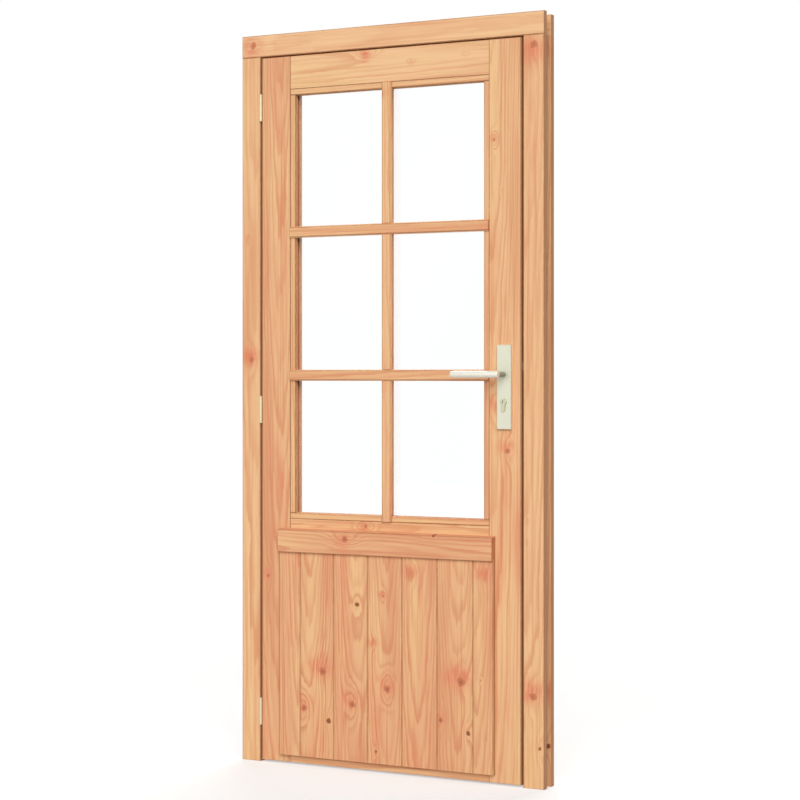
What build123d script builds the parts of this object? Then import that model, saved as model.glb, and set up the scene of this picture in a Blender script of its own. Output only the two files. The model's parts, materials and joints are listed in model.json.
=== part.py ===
"""A glazed and boarded single door, hung in its timber frame, in millimetres.

The origin is at the frame's foot, in the middle of its width and at mid-thickness of the leaf.
+X points from the hinge side to the lock side, +Y goes inwards through the door, and +Z is up.
"""

import os

from build123d import *

os.makedirs("parts", exist_ok=True)

# Frame: overall size, and the section that clasps the wall from both sides
frame_width = 935.0
frame_height = 2010.0
frame_face = 60.0
front_lip = 16.0
wall_groove = 32.0
back_lip = 18.0
wall_groove_depth = 22.0
back_lip_setback = 4.0
stop_width = 15.0
frame_arris = 1.5
frame_joint_vee = 1.0

# Leaf: thickness, the gaps around it, and its members
leaf_thickness = 38.0
stop_clearance = 1.0
hinge_gap = 5.0
lock_gap = 6.5
top_gap = 4.5
bottom_gap = 5.5
stile_width = 93.0
top_rail_height = 90.5
mid_rail_height = 120.0
mid_rail_top = 675.0
bottom_rail_height = 120.0
rebate_width = 16.0
tenon_thickness = 12.0
tenon_length = 60.0
tenon_shoulder = 14.0
tenon_clearance = 0.2
leaf_arris = 1.5

# Glazing: a sealed double pane held by beads, with applied glazing bars
pane_thickness = 4.0
pane_spacing = 6.0
glass_edge_clearance = 3.0
spacer_inset = 0.5
spacer_width = 6.0
block_length = 80.0
block_from_corner = 60.0
bead_thickness = 10.5
bead_recess = 0.5
bead_arris = 1.5
bead_joint_clearance = 0.2
bar_width = 30.0
bar_proud = 6.0
bar_arris = 3.0
bar_joint_clearance = 0.2
bar_rows = 3

# Boarding below the glass, and the weather moulding that caps it
board_thickness = 12.5
full_boards = 5
board_lap_hinge_side = 28.5
board_lap_lock_side = 18.0
first_board_share = 0.647
last_board_share = 0.560
board_bottom = 26.0
board_vee = 1.6
tongue_thickness = 4.0
tongue_length = 6.0
tongue_clearance = 0.3
moulding_bottom = 584.0
moulding_height = 65.0
moulding_proud = 20.5
moulding_fall = 3.5
moulding_lap = 8.0
moulding_clearance = 0.5
moulding_arris = 1.0

# Hinges: butts screwed to the two faces of the hinge-side gap
hinge_length = 74.0
hinge_plate = 2.2
hinge_plate_depth = 26.0
hinge_proud = 2.0
hinge_from_top = 137.0
hinge_from_bottom = 133.0
knuckle_radius = 4.25
knuckle_count = 3
knuckle_gap = 0.3
knuckle_relief = 0.5
hinge_pin_radius = 2.0
hinge_pin_clearance = 0.05
hinge_pin_head = 1.2
hinge_pin_head_radius = 3.4
hinge_screws_each = 2
hinge_screw_pitch = 46.0
hinge_screw_setback = 15.0

# Screws: head and shank radii with lengths, for each use
small_head_radius = 3.4
small_shank_radius = 1.75
hinge_screw_length = 25.0
lock_screw_length = 22.0
frame_head_radius = 4.5
frame_shank_radius = 2.5
frame_screw_length = 85.0
frame_screw_inset = 6.0
screw_clearance = 0.1

# Mortise lock
lock_backset = 46.5
spindle_height = 1071.0
lock_centres = 72.0
case_thickness = 15.0
case_wall = 1.5
case_depth = 70.0
case_above_spindle = 42.0
case_below_cylinder = 46.0
case_clearance = 0.3
forend_length = 235.0
forend_width = 20.0
forend_thickness = 3.0
forend_top = 78.0
forend_screw_inset = 10.0
latch_height = 20.0
latch_thickness = 12.0
latch_above_spindle = 22.0
latch_length = 37.0
latch_throw = 12.0
latch_tail_thickness = 6.0
latch_tail_height = 5.0
latch_tail_rise = 1.0
latch_hook = 4.0
latch_hook_drop = 7.0
latch_slack = 0.9
bolt_height = 30.0
bolt_below_spindle = 36.0
bolt_length = 30.0
bolt_tail_length = 32.0
bolt_tail_thickness = 4.0
bolt_throw = 20.0
bolt_clearance = 0.15
follower_radius = 9.5
follower_clearance = 0.1
follower_arm = 20.0
follower_arm_width = 6.0
spindle_width = 8.0
spindle_clearance = 0.05

# Profile cylinder
profile_radius = 8.5
profile_height = 33.0
profile_tail = 10.0
profile_clearance = 0.2
cylinder_proud = 5.0
plug_radius = 5.0
plug_clearance = 0.05
key_slot_width = 2.0
key_slot_height = 8.0
key_slot_depth = 22.0
cam_width = 9.6
cam_radius = 7.0
cam_reach = 14.5
cam_nose = 5.0
cam_slot_clearance = 0.3
cylinder_bridge = 15.5
cylinder_screw_radius = 2.4
cylinder_screw_drop = 20.0
cylinder_screw_end = 3.0

# Handles
plate_length = 220.0
plate_width = 41.0
plate_thickness = 8.5
plate_bevel = 1.5
plate_above_spindle = 77.0
plate_screw_radius = 2.0
plate_screw_head_radius = 4.0
plate_screw_inset = 15.0
plate_screw_hole_clearance = 0.5
plate_screw_seat = 3.0
neck_radius = 6.75
neck_clearance = 0.1
spindle_hole_radius = 10.0
grip_radius = 9.5
grip_tip_radius = 8.6
grip_reach = 134.0
grip_offset = 50.0
grip_bevel = 3.5
spindle_end_depth = 20.0

# Strike plate, let into the lock jamb
strike_length = 190.0
strike_width = 24.0
strike_thickness = 2.0
strike_top = 62.0
strike_screw_inset = 9.0
strike_clearance = 1.5
pocket_clearance = 2.0

# Planes and lines that the pieces share
front_y = -leaf_thickness / 2
leaf_back_y = leaf_thickness / 2
groove_front_y = front_y + front_lip
groove_back_y = groove_front_y + wall_groove
frame_back_y = groove_back_y + back_lip
stop_front_y = leaf_back_y + stop_clearance
frame_side = frame_width / 2
opening_side = frame_side - frame_face
opening_top = frame_height - frame_face
groove_floor = frame_side - wall_groove_depth
groove_top = frame_height - wall_groove_depth
back_lip_side = frame_side - back_lip_setback
back_lip_top = frame_height - back_lip_setback
stop_side = opening_side - stop_width

leaf_left = -opening_side + hinge_gap
leaf_right = opening_side - lock_gap
leaf_top = opening_top - top_gap
leaf_bottom = bottom_gap
leaf_height = leaf_top - leaf_bottom
leaf_centre = (leaf_left + leaf_right) / 2
rebate_left = leaf_left + stile_width
rebate_right = leaf_right - stile_width
rebate_top = leaf_top - top_rail_height
rebate_bottom = mid_rail_top
sight_left = rebate_left + rebate_width
sight_right = rebate_right - rebate_width
sight_top = rebate_top - rebate_width
sight_bottom = rebate_bottom + rebate_width

glazing_thickness = 2 * pane_thickness + pane_spacing
bead_front_y = front_y + bead_recess
glass_front_y = bead_front_y + bead_thickness
glass_back_y = glass_front_y + glazing_thickness
bar_front_y = front_y - bar_proud
bar_split_y = (bar_front_y + glass_front_y) / 2

hinge_x = -opening_side + hinge_gap / 2
hinge_y = front_y - hinge_proud
top_hinge_z = leaf_top - hinge_from_top
bottom_hinge_z = leaf_bottom + hinge_from_bottom
hinge_heights = [top_hinge_z, (top_hinge_z + bottom_hinge_z) / 2, bottom_hinge_z]
knuckle_height = (hinge_length - (knuckle_count - 1) * knuckle_gap) / knuckle_count

spindle_x = leaf_right - lock_backset
cylinder_height = spindle_height - lock_centres
forend_back = leaf_right - forend_thickness
case_top = spindle_height + case_above_spindle
case_bottom = cylinder_height - case_below_cylinder
case_back = forend_back - case_depth
latch_z = spindle_height + latch_above_spindle
bolt_z = spindle_height - bolt_below_spindle
plate_top = spindle_height + plate_above_spindle
plate_bottom = plate_top - plate_length
plate_front_y = front_y - plate_thickness
cylinder_end_y = leaf_back_y + plate_thickness + cylinder_proud
grip_y = front_y - grip_offset


def block(low, high, mode=Mode.ADD):
    """A block between two opposite corners, added to or cut from the part in hand."""
    with Locations(tuple((a + b) / 2 for a, b in zip(low, high))):
        Box(*[b - a for a, b in zip(low, high)], mode=mode)


def place_each(piece, planes, mode=Mode.ADD):
    """The same piece on each plane, added to or cut from the part in hand."""
    for plane in planes:
        add(piece.moved(plane.location), mode=mode)


def countersunk_screw(head_radius, shank_radius, length, growth=0.0):
    """A screw along its plane's -Z, its flat head flush with the plane, or its hole."""
    head = head_radius + growth
    shank = shank_radius + growth
    with BuildPart() as screw:
        with BuildSketch(Plane.XZ):
            with BuildLine():
                Polyline(
                    (0, 0), (head, 0), (shank, shank - head), (shank, -length), (0, -length),
                    close=True,
                )
            make_face()
        revolve(axis=Axis.Z)
    return screw.part


def pilot_hole(shank_radius, length):
    """The straight hole in timber for a screw's shank, along its plane's -Z."""
    with BuildPart() as pilot:
        Cylinder(
            shank_radius + screw_clearance, length, align=(Align.CENTER, Align.CENTER, Align.MAX)
        )
    return pilot.part


def profile_prism(half_length, growth=0.0):
    """A bar of the profile cylinder's keyhole section, in its place, through the leaf."""
    radius = profile_radius + growth
    tail = profile_tail / 2 + growth
    tail_z = cylinder_height - (profile_height - profile_radius - profile_tail / 2)
    with BuildPart() as prism:
        with BuildSketch(Plane.XZ.offset(-half_length)):
            with Locations((spindle_x, cylinder_height)):
                Circle(radius)
            with Locations((spindle_x, (cylinder_height + tail_z) / 2)):
                Rectangle(2 * tail, cylinder_height - tail_z)
            with Locations((spindle_x, tail_z)):
                Circle(tail)
        extrude(amount=2 * half_length)
    return prism.part


profile_hole = profile_prism(2 * cylinder_end_y, profile_clearance)

# Screws and their holes, each made once and repeated
hinge_screw = countersunk_screw(small_head_radius, small_shank_radius, hinge_screw_length)
hinge_screw_hole = countersunk_screw(
    small_head_radius, small_shank_radius, hinge_screw_length, screw_clearance
)
lock_screw = countersunk_screw(small_head_radius, small_shank_radius, lock_screw_length)
lock_screw_hole = countersunk_screw(
    small_head_radius, small_shank_radius, lock_screw_length, screw_clearance
)
small_pilot = pilot_hole(small_shank_radius, hinge_screw_length)
lock_pilot = pilot_hole(small_shank_radius, lock_screw_length)
frame_pilot = pilot_hole(frame_shank_radius, frame_screw_length)
frame_screw = countersunk_screw(frame_head_radius, frame_shank_radius, frame_screw_length)
frame_screw_hole = countersunk_screw(
    frame_head_radius, frame_shank_radius, frame_screw_length, screw_clearance
)

screw_rises = [
    (step - (hinge_screws_each - 1) / 2) * hinge_screw_pitch for step in range(hinge_screws_each)
]
hinge_screw_y = hinge_y + hinge_screw_setback
frame_hinge_screws_at = [
    Plane((-opening_side + hinge_plate, hinge_screw_y, height + rise), (0, 1, 0), (1, 0, 0))
    for height in hinge_heights
    for rise in screw_rises
]
door_hinge_screws_at = [
    Plane((leaf_left - hinge_plate, hinge_screw_y, height + rise), (0, 1, 0), (-1, 0, 0))
    for height in hinge_heights
    for rise in screw_rises
]
head_screw_x = (opening_side + groove_floor) / 2
head_screws_at = [
    Plane((side * head_screw_x, y, groove_top), (1, 0, 0), (0, 0, 1))
    for side in (-1, 1)
    for y in (groove_front_y + frame_screw_inset, groove_back_y - frame_screw_inset)
]
forend_top_z = spindle_height + forend_top
forend_bottom_z = forend_top_z - forend_length
forend_screws_at = [
    Plane((leaf_right, 0, z), (0, 1, 0), (1, 0, 0))
    for z in (forend_bottom_z + forend_screw_inset, forend_top_z - forend_screw_inset)
]
strike_top_z = spindle_height + strike_top
strike_bottom_z = strike_top_z - strike_length
strike_screws_at = [
    Plane((opening_side, 0, z), (0, 1, 0), (-1, 0, 0))
    for z in (strike_bottom_z + strike_screw_inset, strike_top_z - strike_screw_inset)
]
plate_screw_heights = (plate_bottom + plate_screw_inset, plate_top - plate_screw_inset)


# Jambs: one moulded section, handed, with the wall groove outside and the stop inside
for side, jamb_name in ((-1, "hinge_jamb"), (1, "lock_jamb")):
    with BuildPart() as jamb:
        with BuildSketch(Plane.XY):
            with BuildLine():
                Polyline(
                    (side * opening_side, front_y),
                    (side * frame_side, front_y),
                    (side * frame_side, groove_front_y),
                    (side * groove_floor, groove_front_y),
                    (side * groove_floor, groove_back_y),
                    (side * back_lip_side, groove_back_y),
                    (side * back_lip_side, frame_back_y),
                    (side * stop_side, frame_back_y),
                    (side * stop_side, stop_front_y),
                    (side * opening_side, stop_front_y),
                    close=True,
                )
            make_face()
        extrude(amount=opening_top)
        fillet(jamb.edges().filter_by(Axis.Z).group_by(Axis.Y)[0], frame_arris)
        chamfer(jamb.faces().sort_by(Axis.Z)[-1].edges().sort_by(Axis.Y)[0], frame_joint_vee)
        place_each(frame_pilot, head_screws_at, Mode.SUBTRACT)
        if side < 0:
            for height in hinge_heights:
                with Locations((hinge_x, hinge_y, height)):
                    Cylinder(
                        knuckle_radius + knuckle_relief,
                        hinge_length + 2 * hinge_pin_head + 2 * knuckle_relief,
                        mode=Mode.SUBTRACT,
                    )
            place_each(small_pilot, frame_hinge_screws_at, Mode.SUBTRACT)
        else:
            block(
                (opening_side, -strike_width / 2, strike_bottom_z),
                (opening_side + strike_thickness, strike_width / 2, strike_top_z),
                Mode.SUBTRACT,
            )
            for z, height, thickness, reach in (
                (latch_z, latch_height, latch_thickness, latch_throw),
                (bolt_z, bolt_height, latch_thickness, bolt_throw),
            ):
                half_height = height / 2 + strike_clearance
                half_thickness = thickness / 2 + strike_clearance
                block(
                    (opening_side, -half_thickness, z - half_height),
                    (leaf_right + reach + pocket_clearance, half_thickness, z + half_height),
                    Mode.SUBTRACT,
                )
            place_each(lock_pilot, strike_screws_at, Mode.SUBTRACT)
    jamb.part.label = jamb_name
    export_step(jamb.part, f"parts/{jamb_name}.step")

# Head: the same section across the full width, sitting on the jambs
with BuildPart() as head:
    with BuildSketch(Plane.YZ.offset(-frame_side)):
        with BuildLine():
            Polyline(
                (front_y, opening_top),
                (front_y, frame_height),
                (groove_front_y, frame_height),
                (groove_front_y, groove_top),
                (groove_back_y, groove_top),
                (groove_back_y, back_lip_top),
                (frame_back_y, back_lip_top),
                (frame_back_y, opening_top - stop_width),
                (stop_front_y, opening_top - stop_width),
                (stop_front_y, opening_top),
                close=True,
            )
        make_face()
    extrude(amount=frame_width)
    fillet(head.edges().filter_by(Axis.X).group_by(Axis.Y)[0].sort_by(Axis.Z)[-1], frame_arris)
    chamfer(head.edges().filter_by(Axis.X).group_by(Axis.Y)[0].sort_by(Axis.Z)[0], frame_joint_vee)
    for side in (-1, 1):
        groove_end = sorted((side * groove_floor, side * frame_side))
        lip_end = sorted((side * back_lip_side, side * frame_side))
        stop_end = sorted((side * stop_side, side * frame_side))
        block(
            (groove_end[0], groove_front_y, opening_top - stop_width),
            (groove_end[1], groove_back_y, frame_height),
            Mode.SUBTRACT,
        )
        block(
            (lip_end[0], groove_back_y, opening_top - stop_width),
            (lip_end[1], frame_back_y, frame_height),
            Mode.SUBTRACT,
        )
        block(
            (stop_end[0], front_y, opening_top - stop_width),
            (stop_end[1], frame_back_y, opening_top),
            Mode.SUBTRACT,
        )
    place_each(frame_screw_hole, head_screws_at, Mode.SUBTRACT)
head.part.label = "frame_head"
export_step(head.part, "parts/frame_head.step")

with BuildPart() as head_screws:
    place_each(frame_screw, head_screws_at)
head_screws.part.label = "head_screws"
export_step(head_screws.part, "parts/head_screws.step")


# Stiles: rebated along the inner front edge, mortised for the rails
rail_spans = (
    (rebate_top, leaf_top),
    (mid_rail_top - mid_rail_height, mid_rail_top),
    (leaf_bottom, leaf_bottom + bottom_rail_height),
)
for side, stile_name in ((-1, "hinge_stile"), (1, "lock_stile")):
    outer = leaf_left if side < 0 else leaf_right
    rebate = rebate_left if side < 0 else rebate_right
    sight = sight_left if side < 0 else sight_right
    with BuildPart() as stile:
        with BuildSketch(Plane.XY.offset(leaf_bottom)):
            with BuildLine():
                Polyline(
                    (outer, front_y), (rebate, front_y), (rebate, glass_back_y),
                    (sight, glass_back_y), (sight, leaf_back_y), (outer, leaf_back_y), close=True,
                )
            make_face()
        extrude(amount=leaf_height)
        outer_edges = stile.edges().filter_by(Axis.Z).group_by(Axis.X)[0 if side < 0 else -1]
        chamfer(outer_edges, leaf_arris)
        for low, high in rail_spans:
            mortise = sorted((rebate, rebate + side * (tenon_length + tenon_clearance)))
            half_tenon = tenon_thickness / 2 + tenon_clearance
            block(
                (mortise[0], -half_tenon, low + tenon_shoulder - tenon_clearance),
                (mortise[1], half_tenon, high - tenon_shoulder + tenon_clearance),
                Mode.SUBTRACT,
            )
        if side < 0:
            for height in hinge_heights:
                with Locations((hinge_x, hinge_y, height)):
                    Cylinder(
                        knuckle_radius + knuckle_relief,
                        hinge_length + 2 * hinge_pin_head + 2 * knuckle_relief,
                        mode=Mode.SUBTRACT,
                    )
            place_each(small_pilot, door_hinge_screws_at, Mode.SUBTRACT)
        else:
            half_case = case_thickness / 2 + case_clearance
            block(
                (case_back - case_clearance, -half_case, case_bottom - case_clearance),
                (leaf_right, half_case, case_top + case_clearance),
                Mode.SUBTRACT,
            )
            with BuildSketch(Plane.YZ.offset(forend_back)):
                with Locations((0, (forend_bottom_z + forend_top_z) / 2)):
                    SlotOverall(forend_length, forend_width, rotation=90)
            extrude(amount=forend_thickness, mode=Mode.SUBTRACT)
            with BuildSketch(Plane.XZ.offset(-leaf_back_y)):
                with Locations((spindle_x, spindle_height)):
                    Circle(spindle_hole_radius)
                for z in plate_screw_heights:
                    with Locations((spindle_x, z)):
                        Circle(plate_screw_radius + plate_screw_hole_clearance)
            extrude(amount=leaf_thickness, mode=Mode.SUBTRACT)
            add(profile_hole, mode=Mode.SUBTRACT)
            place_each(lock_pilot, forend_screws_at, Mode.SUBTRACT)
    stile.part.label = stile_name
    export_step(stile.part, f"parts/{stile_name}.step")


# Rails: long shoulders in front and short ones behind, a tenon at each end
for rail_name, (low, high), back_low, back_high in (
    ("top_rail", rail_spans[0], sight_top, leaf_top),
    ("mid_rail", rail_spans[1], rail_spans[1][0], sight_bottom),
    ("bottom_rail", rail_spans[2], rail_spans[2][0], rail_spans[2][1]),
):
    with BuildPart() as rail:
        block((rebate_left, front_y, low), (rebate_right, glass_back_y, high))
        block((sight_left, glass_back_y, back_low), (sight_right, leaf_back_y, back_high))
        block(
            (rebate_left - tenon_length, -tenon_thickness / 2, low + tenon_shoulder),
            (rebate_right + tenon_length, tenon_thickness / 2, high - tenon_shoulder),
        )
    rail.part.label = rail_name
    export_step(rail.part, f"parts/{rail_name}.step")


# Sealed glass unit: two panes with a spacer between, standing on setting blocks
glass_left = rebate_left + glass_edge_clearance
glass_right = rebate_right - glass_edge_clearance
glass_bottom = rebate_bottom + glass_edge_clearance
glass_top = rebate_top - glass_edge_clearance
for pane_name, pane_front in (
    ("outer_pane", glass_front_y),
    ("inner_pane", glass_back_y - pane_thickness),
):
    with BuildPart() as pane:
        block(
            (glass_left, pane_front, glass_bottom),
            (glass_right, pane_front + pane_thickness, glass_top),
        )
    pane.part.label = pane_name
    export_step(pane.part, f"parts/{pane_name}.step")

with BuildPart() as spacer:
    inset = spacer_inset
    inner = spacer_inset + spacer_width
    gap_front = glass_front_y + pane_thickness
    gap_back = gap_front + pane_spacing
    block(
        (glass_left + inset, gap_front, glass_bottom + inset),
        (glass_right - inset, gap_back, glass_top - inset),
    )
    block(
        (glass_left + inner, gap_front, glass_bottom + inner),
        (glass_right - inner, gap_back, glass_top - inner),
        Mode.SUBTRACT,
    )
spacer.part.label = "glass_spacer"
export_step(spacer.part, "parts/glass_spacer.step")

with BuildPart() as setting_blocks:
    for left in (rebate_left + block_from_corner, rebate_right - block_from_corner - block_length):
        block(
            (left, glass_front_y, rebate_bottom),
            (left + block_length, glass_back_y, glass_bottom),
        )
setting_blocks.part.label = "setting_blocks"
export_step(setting_blocks.part, "parts/setting_blocks.step")


# Glazing beads: head and foot beads run through, side beads stand between them
bead_width = rebate_width
side_bead_bottom = rebate_bottom + bead_width + bead_joint_clearance
side_bead_top = rebate_top - bead_width - bead_joint_clearance
for bead_name, low, high in (
    ("top_bead", (rebate_left, rebate_top - bead_width), (rebate_right, rebate_top)),
    ("bottom_bead", (rebate_left, rebate_bottom), (rebate_right, rebate_bottom + bead_width)),
    ("hinge_side_bead", (rebate_left, side_bead_bottom), (sight_left, side_bead_top)),
    ("lock_side_bead", (sight_right, side_bead_bottom), (rebate_right, side_bead_top)),
):
    with BuildPart() as bead:
        block((low[0], bead_front_y, low[1]), (high[0], glass_front_y, high[1]))
        chamfer(bead.faces().sort_by(Axis.Y)[0].edges(), bead_arris / 2)
    bead.part.label = bead_name
    export_step(bead.part, f"parts/{bead_name}.step")


# Glazing bars: lapped over the beads, the upright halved behind the crossbars
row_height = (sight_top - sight_bottom - (bar_rows - 1) * bar_width) / bar_rows
crossbar_heights = [
    sight_bottom + (row + 1) * row_height + (row + 0.5) * bar_width for row in range(bar_rows - 1)
]
half_bar = bar_width / 2
for bar_name, height in zip(("lower_crossbar", "upper_crossbar"), crossbar_heights):
    with BuildPart() as crossbar:
        with BuildSketch(Plane.YZ.offset(rebate_left)):
            with BuildLine():
                Polyline(
                    (glass_front_y, height - half_bar),
                    (bar_front_y + bar_arris, height - half_bar),
                    (bar_front_y, height - half_bar + bar_arris),
                    (bar_front_y, height + half_bar - bar_arris),
                    (bar_front_y + bar_arris, height + half_bar),
                    (glass_front_y, height + half_bar),
                    close=True,
                )
            make_face()
        extrude(amount=rebate_right - rebate_left)
        for low, high in (
            (rebate_left, sight_left + bar_joint_clearance),
            (sight_right - bar_joint_clearance, rebate_right),
        ):
            block(
                (low, bead_front_y, height - half_bar),
                (high, glass_front_y, height + half_bar),
                Mode.SUBTRACT,
            )
        block(
            (leaf_centre - half_bar - bar_joint_clearance, bar_split_y, height - half_bar),
            (leaf_centre + half_bar + bar_joint_clearance, glass_front_y, height + half_bar),
            Mode.SUBTRACT,
        )
    crossbar.part.label = bar_name
    export_step(crossbar.part, f"parts/{bar_name}.step")

with BuildPart() as upright_bar:
    with BuildSketch(Plane.XY.offset(rebate_bottom)):
        with BuildLine():
            Polyline(
                (leaf_centre - half_bar, glass_front_y),
                (leaf_centre - half_bar, bar_front_y + bar_arris),
                (leaf_centre - half_bar + bar_arris, bar_front_y),
                (leaf_centre + half_bar - bar_arris, bar_front_y),
                (leaf_centre + half_bar, bar_front_y + bar_arris),
                (leaf_centre + half_bar, glass_front_y),
                close=True,
            )
        make_face()
    extrude(amount=rebate_top - rebate_bottom)
    for low, high in (
        (rebate_bottom, sight_bottom + bar_joint_clearance),
        (sight_top - bar_joint_clearance, rebate_top),
    ):
        block(
            (leaf_centre - half_bar, bead_front_y, low),
            (leaf_centre + half_bar, glass_front_y, high),
            Mode.SUBTRACT,
        )
    for height in crossbar_heights:
        block(
            (leaf_centre - half_bar, bar_front_y, height - half_bar - bar_joint_clearance),
            (leaf_centre + half_bar, bar_split_y, height + half_bar + bar_joint_clearance),
            Mode.SUBTRACT,
        )
upright_bar.part.label = "upright_bar"
export_step(upright_bar.part, "parts/upright_bar.step")


# Boards: tongued and grooved, the first and last ripped to fill the width
boarding_left = rebate_left - board_lap_hinge_side
boarding_width = rebate_right + board_lap_lock_side - boarding_left
board_cover = boarding_width / (first_board_share + full_boards + last_board_share)
board_widths = (
    [first_board_share * board_cover] + [board_cover] * full_boards + [last_board_share * board_cover]
)
board_front_y = front_y - board_thickness
tongue_y = front_y - board_thickness / 2
board_top = moulding_bottom + moulding_lap - moulding_clearance
groove_depth = tongue_length + tongue_clearance
for number, width in enumerate(board_widths, start=1):
    left = boarding_left + sum(board_widths[: number - 1])
    right = left + width
    with BuildPart() as board:
        with BuildSketch(Plane.XY.offset(board_bottom)):
            with BuildLine():
                Polyline(
                    (left, front_y),
                    (left, board_front_y + board_vee),
                    (left + board_vee, board_front_y),
                    (right - board_vee, board_front_y),
                    (right, board_front_y + board_vee),
                    (right, front_y),
                    close=True,
                )
            make_face()
            if number < len(board_widths):
                with Locations((right + tongue_length / 2, tongue_y)):
                    Rectangle(tongue_length, tongue_thickness)
            if number > 1:
                with Locations((left + groove_depth / 2, tongue_y)):
                    Rectangle(
                        groove_depth, tongue_thickness + 2 * tongue_clearance, mode=Mode.SUBTRACT
                    )
        extrude(amount=board_top - board_bottom)
    board.part.label = f"board_{number}"
    export_step(board.part, f"parts/board_{number}.step")

# Weather moulding: sloped on top, rebated over the board ends
with BuildPart() as moulding:
    moulding_top = moulding_bottom + moulding_height
    moulding_front_y = front_y - moulding_proud
    lap_y = board_front_y - moulding_clearance
    with BuildSketch(Plane.YZ.offset(boarding_left)):
        with BuildLine():
            Polyline(
                (front_y, moulding_top),
                (moulding_front_y, moulding_top - moulding_fall),
                (moulding_front_y, moulding_bottom),
                (lap_y, moulding_bottom),
                (lap_y, moulding_bottom + moulding_lap),
                (front_y, moulding_bottom + moulding_lap),
                close=True,
            )
        make_face()
    extrude(amount=boarding_width)
    fillet(moulding.edges().filter_by(Axis.X).group_by(Axis.Y)[0], moulding_arris)
moulding.part.label = "weather_moulding"
export_step(moulding.part, "parts/weather_moulding.step")


# Hinges: interleaved knuckles round one pin, plates filling the gap beside the leaf
plate_front = hinge_y + knuckle_radius + knuckle_relief
plate_back = hinge_y + hinge_plate_depth
for hinge_name, height in zip(("top", "middle", "bottom"), hinge_heights):
    hinge_bottom = height - hinge_length / 2
    for carrier, first_knuckle, plate_left, screws_at in (
        ("frame", 0, -opening_side, frame_hinge_screws_at),
        ("door", 1, leaf_left - hinge_plate, door_hinge_screws_at),
    ):
        with BuildPart() as hinge_leaf:
            block(
                (plate_left, plate_front, hinge_bottom),
                (plate_left + hinge_plate, plate_back, hinge_bottom + hinge_length),
            )
            for knuckle in range(first_knuckle, knuckle_count, 2):
                low = hinge_bottom + knuckle * (knuckle_height + knuckle_gap)
                block(
                    (plate_left, hinge_y, low),
                    (plate_left + hinge_plate, plate_front, low + knuckle_height),
                )
                with Locations((hinge_x, hinge_y, low + knuckle_height / 2)):
                    Cylinder(knuckle_radius, knuckle_height)
            with Locations((hinge_x, hinge_y, height)):
                Cylinder(
                    hinge_pin_radius + hinge_pin_clearance, hinge_length, mode=Mode.SUBTRACT
                )
            place_each(hinge_screw_hole, screws_at, Mode.SUBTRACT)
        leaf_name = f"{hinge_name}_hinge_{carrier}_leaf"
        hinge_leaf.part.label = leaf_name
        export_step(hinge_leaf.part, f"parts/{leaf_name}.step")

    with BuildPart() as hinge_pin:
        with Locations((hinge_x, hinge_y, height)):
            Cylinder(hinge_pin_radius, hinge_length)
        with Locations((hinge_x, hinge_y, height + (hinge_length + hinge_pin_head) / 2)):
            Cylinder(hinge_pin_head_radius, hinge_pin_head)
    hinge_pin.part.label = f"{hinge_name}_hinge_pin"
    export_step(hinge_pin.part, f"parts/{hinge_name}_hinge_pin.step")

with BuildPart() as frame_hinge_screws:
    place_each(hinge_screw, frame_hinge_screws_at)
frame_hinge_screws.part.label = "frame_hinge_screws"
export_step(frame_hinge_screws.part, "parts/frame_hinge_screws.step")

with BuildPart() as door_hinge_screws:
    place_each(hinge_screw, door_hinge_screws_at)
door_hinge_screws.part.label = "door_hinge_screws"
export_step(door_hinge_screws.part, "parts/door_hinge_screws.step")


# Lock case: a tray with the mechanism in it, closed by a cover on the inner side
half_case = case_thickness / 2
cylinder_screw_z = cylinder_height - cylinder_screw_drop
with BuildPart() as lock_case:
    block((case_back, -half_case, case_bottom), (forend_back, half_case - case_wall, case_top))
    block(
        (case_back + case_wall, case_wall - half_case, case_bottom + case_wall),
        (forend_back, half_case - case_wall, case_top - case_wall),
        Mode.SUBTRACT,
    )
    with BuildSketch(Plane.XZ.offset(half_case)):
        with Locations((spindle_x, spindle_height)):
            Circle(follower_radius + follower_clearance)
    extrude(amount=-case_wall, mode=Mode.SUBTRACT)
    add(profile_hole, mode=Mode.SUBTRACT)
lock_case.part.label = "lock_case"
export_step(lock_case.part, "parts/lock_case.step")

with BuildPart() as lock_cover:
    block((case_back, half_case - case_wall, case_bottom), (forend_back, half_case, case_top))
    with BuildSketch(Plane.XZ.offset(-half_case)):
        with Locations((spindle_x, spindle_height)):
            Circle(follower_radius + follower_clearance)
    extrude(amount=case_wall, mode=Mode.SUBTRACT)
    add(profile_hole, mode=Mode.SUBTRACT)
lock_cover.part.label = "lock_cover"
export_step(lock_cover.part, "parts/lock_cover.step")

with BuildPart() as forend:
    with BuildSketch(Plane.YZ.offset(forend_back)):
        with Locations((0, (forend_bottom_z + forend_top_z) / 2)):
            SlotOverall(forend_length, forend_width, rotation=90)
        for z, height in ((latch_z, latch_height), (bolt_z, bolt_height)):
            with Locations((0, z)):
                Rectangle(
                    latch_thickness + 2 * bolt_clearance,
                    height + 2 * bolt_clearance,
                    mode=Mode.SUBTRACT,
                )
        with Locations((0, cylinder_screw_z)):
            Circle(cylinder_screw_radius + screw_clearance, mode=Mode.SUBTRACT)
    extrude(amount=forend_thickness)
    place_each(lock_screw_hole, forend_screws_at, Mode.SUBTRACT)
forend.part.label = "forend"
export_step(forend.part, "parts/forend.step")

with BuildPart() as forend_screws:
    place_each(lock_screw, forend_screws_at)
forend_screws.part.label = "forend_screws"
export_step(forend_screws.part, "parts/forend_screws.step")


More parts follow.
